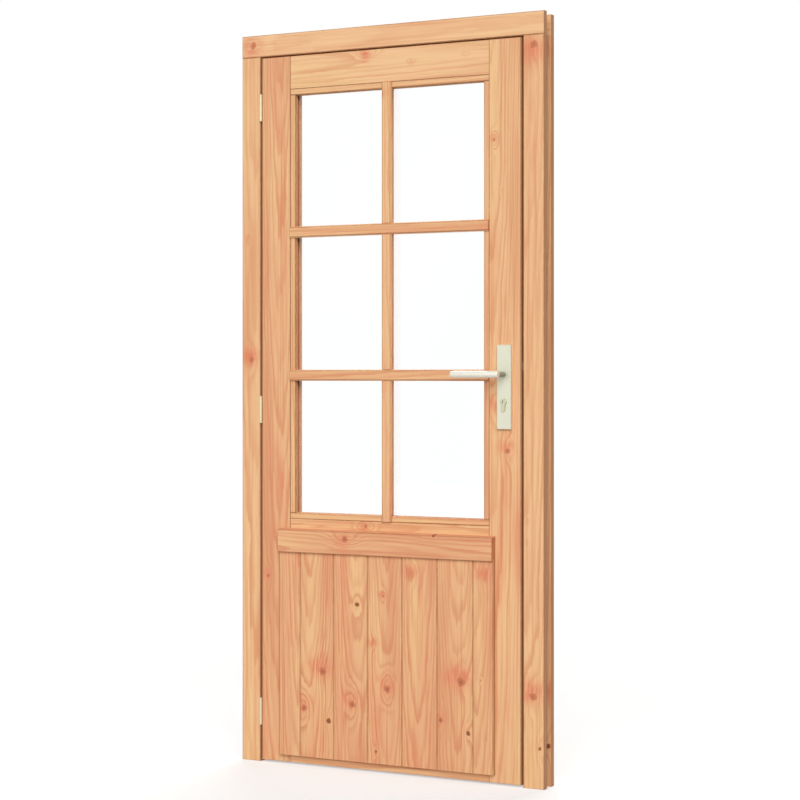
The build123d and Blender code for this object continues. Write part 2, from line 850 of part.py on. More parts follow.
# Latch: bevelled on the closing side, its tail hooked behind the follower's arm
with BuildPart() as latch:
    latch_front = leaf_right + latch_throw
    half_latch = latch_thickness / 2
    hook_face = spindle_x - follower_arm_width / 2 - latch_slack
    tail_low = spindle_height + follower_arm + latch_tail_rise
    with BuildSketch(Plane.XY.offset(latch_z - latch_height / 2)):
        with BuildLine():
            Polyline(
                (latch_front - latch_length, -half_latch),
                (latch_front, -half_latch),
                (latch_front, case_wall - half_latch),
                (leaf_right, half_latch),
                (latch_front - latch_length, half_latch),
                close=True,
            )
        make_face()
    extrude(amount=latch_height)
    block(
        (hook_face - latch_hook, -latch_tail_thickness / 2, tail_low),
        (latch_front - latch_length, latch_tail_thickness / 2, tail_low + latch_tail_height),
    )
    block(
        (hook_face - latch_hook, -latch_tail_thickness / 2, tail_low - latch_hook_drop),
        (hook_face, latch_tail_thickness / 2, tail_low),
    )
latch.part.label = "latch_bolt"
export_step(latch.part, "parts/latch_bolt.step")

# Dead bolt: drawn back flush with the forend, a thinner tail over the cam
with BuildPart() as dead_bolt:
    bolt_low = bolt_z - bolt_height / 2
    block(
        (leaf_right - bolt_length, -half_latch, bolt_low),
        (leaf_right, half_latch, bolt_low + bolt_height),
    )
    block(
        (leaf_right - bolt_length - bolt_tail_length, -bolt_tail_thickness / 2, bolt_low),
        (leaf_right - bolt_length, bolt_tail_thickness / 2, bolt_low + bolt_height),
    )
dead_bolt.part.label = "dead_bolt"
export_step(dead_bolt.part, "parts/dead_bolt.step")

# Follower: the hub that the spindle turns, with the arm that draws the latch
with BuildPart() as follower:
    with BuildSketch(Plane.XZ.offset(-half_case)):
        with Locations((spindle_x, spindle_height)):
            Circle(follower_radius)
    extrude(amount=case_thickness)
    block(
        (spindle_x - follower_arm_width / 2, -latch_tail_thickness / 2, spindle_height),
        (
            spindle_x + follower_arm_width / 2,
            latch_tail_thickness / 2,
            spindle_height + follower_arm,
        ),
    )
    half_square = spindle_width / 2 + spindle_clearance
    block(
        (spindle_x - half_square, -half_case, spindle_height - half_square),
        (spindle_x + half_square, half_case, spindle_height + half_square),
        Mode.SUBTRACT,
    )
follower.part.label = "follower"
export_step(follower.part, "parts/follower.step")


# Profile cylinder: a body with a gap for the cam, and a plug in each half
cam_half = cam_width / 2
cylinder_bar = profile_prism(cylinder_end_y)
with BuildPart() as cylinder_body:
    add(cylinder_bar)
    with Locations(Location((spindle_x, 0, cylinder_height), (90, 0, 0))):
        Cylinder(plug_radius + plug_clearance, 2 * cylinder_end_y, mode=Mode.SUBTRACT)
    block(
        (
            spindle_x - profile_height,
            -cam_half - cam_slot_clearance,
            cylinder_height - cylinder_bridge,
        ),
        (spindle_x + profile_height, cam_half + cam_slot_clearance, cylinder_height + profile_height),
        Mode.SUBTRACT,
    )
    with Locations(Location((spindle_x, 0, cylinder_screw_z), (0, 90, 0))):
        Cylinder(cylinder_screw_radius + screw_clearance, 2 * profile_tail, mode=Mode.SUBTRACT)
cylinder_body.part.label = "cylinder_body"
export_step(cylinder_body.part, "parts/cylinder_body.step")

for plug_name, side in (("outer_plug", -1), ("inner_plug", 1)):
    with BuildPart() as plug:
        plug_low, plug_high = sorted((side * cam_half, side * cylinder_end_y))
        with BuildSketch(Plane.XZ.offset(-plug_high)):
            with Locations((spindle_x, cylinder_height)):
                Circle(plug_radius)
        extrude(amount=plug_high - plug_low)
        slot_low, slot_high = sorted((side * (cylinder_end_y - key_slot_depth), side * cylinder_end_y))
        block(
            (spindle_x - key_slot_width / 2, slot_low, cylinder_height - key_slot_height / 2),
            (spindle_x + key_slot_width / 2, slot_high, cylinder_height + key_slot_height / 2),
            Mode.SUBTRACT,
        )
    plug.part.label = plug_name
    export_step(plug.part, f"parts/{plug_name}.step")

with BuildPart() as cam:
    with BuildSketch(Plane.XZ.offset(-cam_half)):
        with Locations((spindle_x, cylinder_height)):
            Circle(cam_radius)
        with Locations((spindle_x, cylinder_height - cam_reach / 2)):
            Rectangle(cam_nose, cam_reach)
    extrude(amount=cam_width)
cam.part.label = "cylinder_cam"
export_step(cam.part, "parts/cylinder_cam.step")

with BuildPart() as cylinder_screw:
    screw_tip = spindle_x - cylinder_screw_end
    with BuildSketch(Plane.YZ.offset(screw_tip)):
        with Locations((0, cylinder_screw_z)):
            Circle(cylinder_screw_radius)
    extrude(amount=leaf_right - screw_tip)
cylinder_screw.part.label = "cylinder_screw"
export_step(cylinder_screw.part, "parts/cylinder_screw.step")


# Backplates: bevelled long plates, bolted to each other through the stile
plate_centre_z = (plate_bottom + plate_top) / 2
for plate_name, side in (("outer_plate", -1), ("inner_plate", 1)):
    seat_y = front_y if side < 0 else leaf_back_y + plate_thickness
    with BuildPart() as backplate:
        with BuildSketch(Plane.XZ.offset(-seat_y)):
            with Locations((spindle_x, plate_centre_z)):
                Rectangle(plate_width, plate_length)
        extrude(amount=plate_thickness)
        show_face = backplate.faces().sort_by(Axis.Y)[0 if side < 0 else -1]
        chamfer(show_face.edges(), plate_bevel)
        with BuildSketch(Plane.XZ.offset(-seat_y)):
            with Locations((spindle_x, spindle_height)):
                Circle(neck_radius + neck_clearance)
        extrude(amount=plate_thickness, mode=Mode.SUBTRACT)
        add(profile_hole, mode=Mode.SUBTRACT)
        screw_depth = sorted((side * leaf_back_y, side * (leaf_back_y + plate_thickness)))
        if side < 0:
            screw_depth[0] = plate_front_y + plate_screw_seat
        for z in plate_screw_heights:
            with BuildSketch(Plane.XZ.offset(-screw_depth[1])):
                with Locations((spindle_x, z)):
                    Circle(plate_screw_radius + screw_clearance)
            extrude(amount=screw_depth[1] - screw_depth[0], mode=Mode.SUBTRACT)
        if side > 0:
            plate_screw_hole = countersunk_screw(
                plate_screw_head_radius, plate_screw_radius, plate_thickness, screw_clearance
            )
            place_each(
                plate_screw_hole,
                [
                    Plane((spindle_x, seat_y, z), (1, 0, 0), (0, 1, 0))
                    for z in plate_screw_heights
                ],
                Mode.SUBTRACT,
            )
    backplate.part.label = plate_name
    export_step(backplate.part, f"parts/{plate_name}.step")

with BuildPart() as plate_screws:
    plate_screw = countersunk_screw(
        plate_screw_head_radius,
        plate_screw_radius,
        leaf_thickness + 2 * plate_thickness - plate_screw_seat,
    )
    place_each(
        plate_screw,
        [
            Plane((spindle_x, leaf_back_y + plate_thickness, z), (1, 0, 0), (0, 1, 0))
            for z in plate_screw_heights
        ],
    )
plate_screws.part.label = "plate_screws"
export_step(plate_screws.part, "parts/plate_screws.step")


# Levers: a slim neck into a round grip, bevelled at both ends, socketed for the spindle
for lever_name, side in (("outer_lever", -1), ("inner_lever", 1)):
    grip_centre_y = side * (leaf_back_y + grip_offset)
    with BuildPart() as lever:
        with BuildSketch(Plane.XY.offset(spindle_height)):
            with BuildLine():
                grip_root = spindle_x + neck_radius
                grip_end = spindle_x - grip_reach
                Polyline(
                    (grip_root, grip_centre_y),
                    (grip_root, grip_centre_y + side * (grip_radius - grip_bevel)),
                    (grip_root - grip_bevel, grip_centre_y + side * grip_radius),
                    (grip_end + grip_bevel, grip_centre_y + side * grip_tip_radius),
                    (grip_end, grip_centre_y + side * (grip_tip_radius - grip_bevel)),
                    (grip_end, grip_centre_y),
                    close=True,
                )
            make_face()
        revolve(axis=Axis((0, grip_centre_y, spindle_height), (1, 0, 0)))
        neck_low, neck_high = sorted((side * leaf_back_y, grip_centre_y))
        with BuildSketch(Plane.XZ.offset(-neck_high)):
            with Locations((spindle_x, spindle_height)):
                Circle(neck_radius)
        extrude(amount=neck_high - neck_low)
        socket_end = grip_centre_y - side * spindle_end_depth
        socket_low, socket_high = sorted((side * leaf_back_y, socket_end))
        block(
            (spindle_x - half_square, socket_low, spindle_height - half_square),
            (spindle_x + half_square, socket_high, spindle_height + half_square),
            Mode.SUBTRACT,
        )
    lever.part.label = lever_name
    export_step(lever.part, f"parts/{lever_name}.step")

with BuildPart() as spindle:
    spindle_half_length = leaf_back_y + grip_offset - spindle_end_depth - spindle_clearance
    block(
        (
            spindle_x - spindle_width / 2,
            -spindle_half_length,
            spindle_height - spindle_width / 2,
        ),
        (
            spindle_x + spindle_width / 2,
            spindle_half_length,
            spindle_height + spindle_width / 2,
        ),
    )
spindle.part.label = "spindle"
export_step(spindle.part, "parts/spindle.step")


# Strike plate: openings for latch and dead bolt, screwed into the jamb
with BuildPart() as strike_plate:
    block(
        (opening_side, -strike_width / 2, strike_bottom_z),
        (opening_side + strike_thickness, strike_width / 2, strike_top_z),
    )
    for z, height in ((latch_z, latch_height), (bolt_z, bolt_height)):
        half_height = height / 2 + strike_clearance
        half_thickness = latch_thickness / 2 + strike_clearance
        block(
            (opening_side, -half_thickness, z - half_height),
            (opening_side + strike_thickness, half_thickness, z + half_height),
            Mode.SUBTRACT,
        )
    place_each(lock_screw_hole, strike_screws_at, Mode.SUBTRACT)
strike_plate.part.label = "strike_plate"
export_step(strike_plate.part, "parts/strike_plate.step")

with BuildPart() as strike_screws:
    place_each(lock_screw, strike_screws_at)
strike_screws.part.label = "strike_screws"
export_step(strike_screws.part, "parts/strike_screws.step")
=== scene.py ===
"""The looks of a single door in its timber frame: oiled softwood, clear glass and satin metal.

Every timber is dressed with eased edges and a growth-ring pattern of its own. The levers, pins, plugs
and glazing seal are surfaces worked out from formulas.
"""

import json
import logging
import math
from dataclasses import dataclass
from enum import Enum

import bmesh
import bpy
import numpy as np
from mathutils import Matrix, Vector

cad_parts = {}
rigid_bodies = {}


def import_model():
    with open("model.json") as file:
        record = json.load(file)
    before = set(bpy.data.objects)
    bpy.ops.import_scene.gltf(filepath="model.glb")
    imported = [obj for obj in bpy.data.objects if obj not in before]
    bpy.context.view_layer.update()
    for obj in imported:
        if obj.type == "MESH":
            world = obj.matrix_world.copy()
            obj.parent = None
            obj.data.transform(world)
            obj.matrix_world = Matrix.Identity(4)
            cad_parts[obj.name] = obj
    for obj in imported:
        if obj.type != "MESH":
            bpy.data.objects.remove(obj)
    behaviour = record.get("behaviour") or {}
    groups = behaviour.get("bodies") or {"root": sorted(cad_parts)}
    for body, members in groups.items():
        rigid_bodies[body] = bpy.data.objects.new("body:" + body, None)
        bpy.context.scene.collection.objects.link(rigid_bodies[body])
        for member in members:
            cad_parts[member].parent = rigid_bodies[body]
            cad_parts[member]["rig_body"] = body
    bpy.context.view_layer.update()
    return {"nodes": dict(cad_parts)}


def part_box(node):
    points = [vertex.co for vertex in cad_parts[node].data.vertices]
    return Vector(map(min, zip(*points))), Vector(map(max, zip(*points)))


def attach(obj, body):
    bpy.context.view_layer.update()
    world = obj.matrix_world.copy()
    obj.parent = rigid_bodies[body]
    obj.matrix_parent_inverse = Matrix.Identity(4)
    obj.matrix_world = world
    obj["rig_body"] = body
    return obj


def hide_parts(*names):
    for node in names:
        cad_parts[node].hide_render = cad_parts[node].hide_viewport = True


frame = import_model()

log = logging.getLogger("door")
MM = 0.001
# The face attribute that lays painted shade on timber faces that look to the side.
SIDE_SHADE_MARK = "side face"
FORWARD = 0.9
FACE_DEPTH = 0.5 * MM
WELD = 0.01 * MM
FLAT_ANGLE = math.radians(0.6)
EASED_ANGLE = math.radians(50)
EASED_FACETS = 2
ROUNDING_STEPS = 8
Colour = tuple[float, float, float]
Triple = tuple[float, float, float]
Span = tuple[float, float, float, float]


def linear(colour: Colour) -> tuple[float, float, float, float]:
    """Turn a display colour into scene light, by the sRGB curve.

    Args:
        colour: red, green and blue from 0 to 255.

    Returns:
        The four linear channels, with alpha at 1.
    """
    part = np.asarray(colour, float) / 255
    lit = np.where(part <= 0.04045, part / 12.92, ((part + 0.055) / 1.055) ** 2.4)
    return (*map(float, lit), 1.0)


class Bench:
    """A node tree being wired, with short calls for the nodes that come often."""

    def __init__(self, tree: bpy.types.NodeTree) -> None:
        """Keep the node tree to wire."""
        self.tree = tree

    def feed(self, socket: bpy.types.NodeSocket, value: object) -> None:
        """Link an input to another node's output, or set its plain value."""
        if isinstance(value, bpy.types.NodeSocket):
            self.tree.links.new(value, socket)
        else:
            socket.default_value = value

    def node(
        self, kind: str, inputs: dict[str | int, object] | None = None, **settings: object
    ) -> bpy.types.Node:
        """Add a node.

        Args:
            kind: the node's type.
            inputs: values by socket name or number.
            settings: the node's own settings.

        Returns:
            The new node.
        """
        made = self.tree.nodes.new(kind)
        for name, value in settings.items():
            setattr(made, name, value)
        for key, value in (inputs or {}).items():
            self.feed(made.inputs[key], value)
        return made

    def maths(self, operation: str, *values: object, clamp: bool = False) -> bpy.types.NodeSocket:
        """Work out one number from up to three.

        Args:
            operation: the Math node's operation.
            values: its inputs in order.
            clamp: whether the result is held from 0 to 1.

        Returns:
            The result.
        """
        inputs = dict(enumerate(values))
        return self.node("ShaderNodeMath", inputs, operation=operation, use_clamp=clamp).outputs[0]

    def vector(self, operation: str, *values: object) -> bpy.types.NodeSocket:
        """Work out one vector, or a length, by a Vector Math operation."""
        made = self.node("ShaderNodeVectorMath", dict(enumerate(values)), operation=operation)
        return made.outputs["Value" if operation == "LENGTH" else "Vector"]

    def scaled(self, value: object, amount: object) -> bpy.types.NodeSocket:
        """Make a vector as many times as long as the amount says."""
        made = self.node("ShaderNodeVectorMath", {0: value, "Scale": amount}, operation="SCALE")
        return made.outputs["Vector"]

    def bell(self, distance: object, fall: float) -> bpy.types.NodeSocket:
        """Give exp(-fall d^2), which is 1 at no distance and dies away smoothly."""
        square = self.maths("MULTIPLY", distance, distance)
        return self.maths("EXPONENT", self.maths("MULTIPLY", square, -fall))

    def noise(
        self, place: object, scale: float | Triple, detail: float = 2.0, roughness: float = 0.5
    ) -> bpy.types.NodeOutputs:
        """Add a noise pattern.

        Args:
            place: where it is read.
            scale: how fine it is, or how fine along each axis.
            detail: how many finer layers it has.
            roughness: how strong the finer layers are.

        Returns:
            Its Fac and Color outputs.
        """
        if isinstance(scale, tuple):
            place, scale = self.vector("MULTIPLY", place, scale), 1.0
        values = {"Vector": place, "Scale": scale, "Detail": detail, "Roughness": roughness}
        return self.node("ShaderNodeTexNoise", values).outputs

    def split(self, value: object) -> bpy.types.NodeOutputs:
        """Take a vector apart into X, Y and Z."""
        return self.node("ShaderNodeSeparateXYZ", {0: value}).outputs

    def ramp(
        self, value: object, low: float, high: float, start: float = 0.0, end: float = 1.0
    ) -> bpy.types.NodeSocket:
        """Carry a value smoothly from one range to another.

        Args:
            value: the value.
            low: where it gives start.
            high: where it gives end.
            start: the first result.
            end: the last result.

        Returns:
            The result.
        """
        values = {"Value": value, "From Min": low, "From Max": high, "To Min": start, "To Max": end}
        made = self.node("ShaderNodeMapRange", values, interpolation_type="SMOOTHSTEP")
        return made.outputs["Result"]

    def mix(self, amount: object, first: object, second: object) -> bpy.types.NodeSocket:
        """Mix two colours.

        Args:
            amount: the second colour's share.
            first: the first colour.
            second: the second colour.

        Returns:
            The mixed colour.
        """
        made = self.node("ShaderNodeMix", {0: amount, 6: first, 7: second}, data_type="RGBA")
        return made.outputs[2]

    def surface(self, shader: bpy.types.Node) -> None:
        """Send a shader to the material's surface."""
        self.node("ShaderNodeOutputMaterial", {"Surface": shader.outputs[0]})


def corners(node: str) -> tuple[np.ndarray, np.ndarray]:
    """Give the low and high corner of a node's box, in metres."""
    low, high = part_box(node)
    return np.array(low), np.array(high)


def new_material(name: str) -> tuple[bpy.types.Material, Bench]:
    """Make an empty material, and the bench to wire it on."""
    made = bpy.data.materials.new(name)
    made.use_nodes = True
    made.node_tree.nodes.clear()
    return made, Bench(made.node_tree)


def object_place(bench: Bench) -> bpy.types.NodeSocket:
    """Give the Object coordinates."""
    return bench.node("ShaderNodeTexCoord").outputs["Object"]


FLOAT, VECTOR = "NodeSocketFloat", "NodeSocketVector"
ORIGIN = (0.0, 0.0, 0.0)
WHITE = (1.0, 1.0, 1.0, 1.0)


class Effect:
    """A shader node group that several materials share."""

    def __init__(self, name: str, inputs: dict[str, object], outputs: dict[str, str]) -> None:
        """Make the group's sockets.

        Args:
            name: the group's name.
            inputs: default value by input name; its kind follows from the value.
            outputs: socket type by output name.
        """
        self.tree = bpy.data.node_groups.new(name, "ShaderNodeTree")
        self.bench = Bench(self.tree)
        for key, value in inputs.items():
            kind = VECTOR if isinstance(value, tuple) else FLOAT
            socket = self.tree.interface.new_socket(name=key, in_out="INPUT", socket_type=kind)
            socket.default_value = value
        for key, kind in outputs.items():
            self.tree.interface.new_socket(name=key, in_out="OUTPUT", socket_type=kind)
        self.given = self.bench.node("NodeGroupInput").outputs
        self.result = self.bench.node("NodeGroupOutput").inputs

    def give(self, **values: object) -> None:
        """Feed the group's outputs, with spaces in their names written as underscores."""
        for key, value in values.items():
            self.bench.feed(self.result[key.replace("_", " ")], value)

    def place(self, bench: Bench, **values: object) -> bpy.types.NodeOutputs:
        """Put the group into a material, feed it as give() is fed, and return its outputs."""
        made = bench.node("ShaderNodeGroup", node_tree=self.tree)
        for key, value in values.items():
            bench.feed(made.inputs[key.replace("_", " ")], value)
        return made.outputs


@dataclass(frozen=True)
class Figure:
    """How the wood's patterns vary.

    The triples say how finely, per metre across, deep and along the grain. A span carries a value from its
    first two numbers to its last two.
    """

    wander: Triple = (5.0, 5.0, 1.6)
    ripple: Triple = (60.0, 60.0, 6.0)
    fibre: Triple = (260.0, 260.0, 9.0)
    streak: Triple = (150.0, 150.0, 1.5)
    blush: Triple = (17.0, 17.0, 2.2)
    drift: Triple = (15.0, 15.0, 1.6)
    wobble: Triple = (95.0, 20.0, 95.0)
    fray: Triple = (190.0, 20.0, 22.0)
    layers: tuple[float, float] = (3.0, 0.6)
    ripple_rings: float = 1.3
    late_rise: Span = (0.30, 0.82, 0.0, 1.0)
    late_end: Span = (0.88, 1.0, 1.0, 0.0)
    ring_strength: Span = (0.0, 1.0, 0.35, 1.0)
    blush_part: Span = (0.50, 0.78, 0.0, 1.0)


@dataclass(frozen=True)
class KnotForm:
    """A knot's proportions: how its parts are squeezed along each axis, and how they die away."""

    through: Triple = (1.0, 0.12, 1.0)
    tall: Triple = (1.0, 1.0, 0.42)
    smear: Triple = (0.5, 1.0, 0.62)
    swell_fall: float = 0.22
    stain_fall: float = 0.34
    outline: Span = (0.2, 0.8, 0.8, 1.25)
    core: Span = (0.75, 1.15, 1.0, 0.0)
    heart: Span = (0.0, 0.62, 1.0, 0.0)
    ragged: Span = (0.3, 0.68, 0.35, 1.15)
    aside: float = 0.9


FIGURE, KNOT_FORM = Figure(), KnotForm()


def growth_rings() -> Effect:
    """Build the growth-ring effect of sawn softwood.

    Returns:
        The effect. With u across, v deep and w along the grain, a ring's number is
        sqrt((u - pith u)^2 + (v - pith v + taper w)^2) / spacing + lift, all wandering with slow noise.
    """
    effect = Effect(
        "growth rings",
        {
            "Vector": ORIGIN, "Pith": ORIGIN, "Taper": 0.02, "Spacing": 0.004, "Wander": 0.01,
            "Seed": 0.0, "Lift": 0.0,
        },
        {"Late Wood": FLOAT, "Fibre": FLOAT, "Blush": FLOAT, "Drift": FLOAT, "Streak": FLOAT},
    )
    bench, given = effect.bench, effect.given
    seed = given["Seed"]
    shift = bench.node("ShaderNodeCombineXYZ", {0: seed, 1: seed, 2: seed}).outputs[0]
    place = bench.vector("ADD", given["Vector"], shift)
    pull = bench.vector("SUBTRACT", bench.noise(place, FIGURE.wander)["Color"], (0.5, 0.5, 0.5))
    drawn = bench.scaled(pull, given["Wander"])
    at = bench.vector("ADD", bench.vector("SUBTRACT", given["Vector"], given["Pith"]), drawn)
    parts = bench.split(at)
    deep = bench.maths("MULTIPLY_ADD", parts["Z"], given["Taper"], parts["Y"])
    across = bench.maths("MULTIPLY", parts["X"], parts["X"])
    radius = bench.maths("SQRT", bench.maths("MULTIPLY_ADD", deep, deep, across))
    ripple = bench.noise(place, FIGURE.ripple, *FIGURE.layers)["Fac"]
    ring = bench.maths("ADD", bench.maths("DIVIDE", radius, given["Spacing"]), given["Lift"])
    ring = bench.maths("MULTIPLY_ADD", ripple, FIGURE.ripple_rings, ring)
    turn = bench.maths("FRACT", ring)
    rise, end = bench.ramp(turn, *FIGURE.late_rise), bench.ramp(turn, *FIGURE.late_end)
    band = bench.maths("MULTIPLY", rise, end)
    number = {"W": bench.maths("FLOOR", ring)}
    vary = bench.node("ShaderNodeTexWhiteNoise", number, noise_dimensions="1D").outputs["Value"]
    effect.give(
        Late_Wood=bench.maths("MULTIPLY", band, bench.ramp(vary, *FIGURE.ring_strength)),
        Fibre=bench.noise(place, FIGURE.fibre, *FIGURE.layers)["Fac"],
        Streak=bench.noise(place, FIGURE.streak, *FIGURE.layers)["Fac"],
        Blush=bench.ramp(bench.noise(place, FIGURE.blush, *FIGURE.layers)["Fac"], *FIGURE.blush_part),
        Drift=bench.split(bench.noise(place, FIGURE.drift)["Color"])["X"],
    )
    return effect


def knot_effect() -> Effect:
    """Build the effect of one knot, made to be chained.

    Returns:
        The effect. With d the distance from the knot's centre over its radius, the core is where d < 1,
        the rings are lifted by height exp(-fall d^2), and a stain lies to one side as a soft oval that
        noise frays along the grain.
    """
    effect = Effect(
        "knot",
        {
            "Vector": ORIGIN, "Centre": ORIGIN, "Radius": 0.008, "Height": 1.5, "Stain": 0.5,
            "Side": (KNOT_FORM.aside, 0.0, -1.1),
            "Core In": 0.0, "Heart In": 0.0, "Stain In": 0.0, "Lift In": 0.0,
        },
        {"Core": FLOAT, "Heart": FLOAT, "Stain": FLOAT, "Lift": FLOAT},
    )
    bench, given = effect.bench, effect.given
    form = KNOT_FORM
    away = bench.vector("SUBTRACT", given["Vector"], given["Centre"])
    away = bench.vector("MULTIPLY", away, form.through)
    wobble = bench.noise(given["Vector"], FIGURE.wobble, 1.0)["Fac"]
    distance = bench.maths("DIVIDE", bench.vector("LENGTH", away), given["Radius"])
    distance = bench.maths("MULTIPLY", distance, bench.ramp(wobble, *form.outline))
    core, heart = bench.ramp(distance, *form.core), bench.ramp(distance, *form.heart)
    tall = bench.vector("LENGTH", bench.vector("MULTIPLY", away, form.tall))
    bump = bench.bell(bench.maths("DIVIDE", tall, given["Radius"]), form.swell_fall)
    side = bench.scaled(given["Side"], given["Radius"])
    smear = bench.vector("LENGTH", bench.vector("MULTIPLY", bench.vector("ADD", away, side), form.smear))
    soft = bench.bell(bench.maths("DIVIDE", smear, given["Radius"]), form.stain_fall)
    ragged = bench.noise(given["Vector"], FIGURE.fray, *FIGURE.layers)["Fac"]
    soft = bench.maths("MULTIPLY", soft, bench.ramp(ragged, *form.ragged))
    effect.give(
        Core=bench.maths("MAXIMUM", core, given["Core In"]),
        Heart=bench.maths("MAXIMUM", heart, given["Heart In"]),
        Stain=bench.maths("MAXIMUM", bench.maths("MULTIPLY", soft, given["Stain"]), given["Stain In"]),
        Lift=bench.maths("MULTIPLY_ADD", bump, given["Height"], given["Lift In"]),
    )
    return effect


def joint_shade_line() -> Effect:
    """Build the effect of a dark line painted along a timber's front edges: painted shade standing in for the
    shade in the joints.

    Returns:
        The effect. With d the distance inwards from the nearest side of the face's box, the line is where
        |d| is under its width, on the front few millimetres only, broken up a little with noise.
    """
    inputs = {"Vector": ORIGIN, "Low": ORIGIN, "High": ORIGIN, "Width": 0.0012}
    effect = Effect("seam line", inputs, {"Line": FLOAT})
    bench, given = effect.bench, effect.given
    inside = bench.vector(
        "MINIMUM",
        bench.vector("SUBTRACT", given["Vector"], given["Low"]),
        bench.vector("SUBTRACT", given["High"], given["Vector"]),
    )
    parts = bench.split(inside)
    near = bench.maths("ABSOLUTE", bench.maths("MINIMUM", parts["X"], parts["Z"]))
    line = bench.ramp(bench.maths("DIVIDE", near, given["Width"]), 0.45, 1.1, 1.0, 0.0)
    front = bench.ramp(parts["Y"], -0.0022, -0.0012, 0.0, 1.0)
    broken = bench.ramp(bench.noise(given["Vector"], 55.0)["Fac"], 0.3, 0.6, 0.7, 1.0)
    effect.give(Line=bench.maths("MULTIPLY", bench.maths("MULTIPLY", line, front), broken))
    return effect


def speckle() -> Effect:
    """Build the effect of a satin metal skin: fine drawn lines and slow patches, each from 0 to 1."""
    inputs = {"Vector": ORIGIN, "Stretch": (900.0, 900.0, 40.0)}
    effect = Effect("satin skin", inputs, {"Lines": FLOAT, "Patches": FLOAT})
    bench, given = effect.bench, effect.given
    drawn = bench.vector("MULTIPLY", given["Vector"], given["Stretch"])
    effect.give(
        Lines=bench.noise(drawn, 1.0, 2.0, 0.6)["Fac"],
        Patches=bench.noise(given["Vector"], 38.0, 3.0, 0.55)["Fac"],
    )
    return effect


RINGS, KNOT, JOINT_SHADE, SATIN = growth_rings(), knot_effect(), joint_shade_line(), speckle()


class Grain(Enum):
    """Which way a timber's grain runs, as the turn that brings it upright."""

    UPRIGHT = 0.0
    LEVEL = math.pi / 2


class Spot(Enum):
    """What kind of mark a knot leaves."""

    ROUND = "a sound red knot"
    DARK = "a small dead knot"
    PATCH = "a red stain alone"


@dataclass(frozen=True)
class Knot:
    """A knot in a timber's face, in millimetres on the closed door.

    swell is how many rings it pushes up, and above how many radii its stain lies above it.
    """

    across: float
    height: float
    radius: float
    stain: float = 0.5
    kind: Spot = Spot.ROUND
    swell: float = 1.6
    above: float = 1.1


@dataclass(frozen=True)
class Tone:
    """The colours of one cut of softwood."""

    early: Colour
    late: Colour
    pale: Colour = (236, 195, 140)
    # painted shade: the dark line along the front face's edges, standing in for the shade in the joints.
    seam: Colour = (148, 96, 56)
    # side is painted shade: the darker colour of faces that look to the side, where less light falls.
    side: Colour = (150, 88, 44)
    stain: Colour = (219, 120, 90)
    knot: Colour = (190, 108, 74)
    heart: Colour = (142, 80, 52)
    dark_knot: Colour = (128, 62, 34)


# BUTTER, the palest tone, goes to the head and the top rail, so the top of the door is lighter.
BUTTER = Tone((239, 194, 147), (219, 158, 113))
HONEY = Tone((234, 187, 139), (211, 143, 99))
PINK = Tone((229, 178, 131), (209, 134, 95))
ROSE = Tone((227, 174, 128), (207, 128, 92))


@dataclass(frozen=True)
class Layers:
    """How the wood's colours are laid over each other.

    A span reads a mask from its first number to its second, and gives a strength from its third to its
    fourth. The single numbers are plain shares.
    """

    warm: Span = (0.5, 0.7, 0.0, 0.5)
    pale: Span = (0.32, 0.5, 0.75, 0.0)
    late_in_red: Span = (0.0, 0.6, 0.7, 1.0)
    fibre: Span = (0.35, 0.75, 0.0, 0.2)
    dark_streak: Span = (0.5, 0.72, 0.0, 0.75)
    pale_streak: Span = (0.25, 0.45, 0.45, 0.0)
    roughness: Span = (0.2, 0.8, 0.52, 0.66)
    red: float = 0.95
    core: float = 0.8
    heart: float = 0.75
    dark: float = 0.9
    # The share of the painted joint shade along the front face's edges.
    seam: float = 0.7
    # The next two lay painted shade on faces that look to the side: a span read from the side mark, and the
    # shade colour's share.
    side_shade_span: tuple[float, float] = (0.6, 0.95)
    side: float = 0.55
    fibre_relief: float = 0.4
    bump: float = 0.22
    gloss: float = 0.35


@dataclass(frozen=True)
class Cut:
    """How a kind of timber is dressed, in millimetres.

    ease is how far its rounded edges reach, line how wide the dark line of painted joint shade along its
    front edges is, and clear how far its back keeps from the glass that it lies on.
    """

    ease: float = 1.5
    line: float = 1.5
    clear: float = 0.0


LAYERS = Layers()
STOCK, BEAD, BAR, BOARD = Cut(), Cut(1.2, 1.2), Cut(1.2, 1.2, 0.4), Cut(0.8, 1.1)


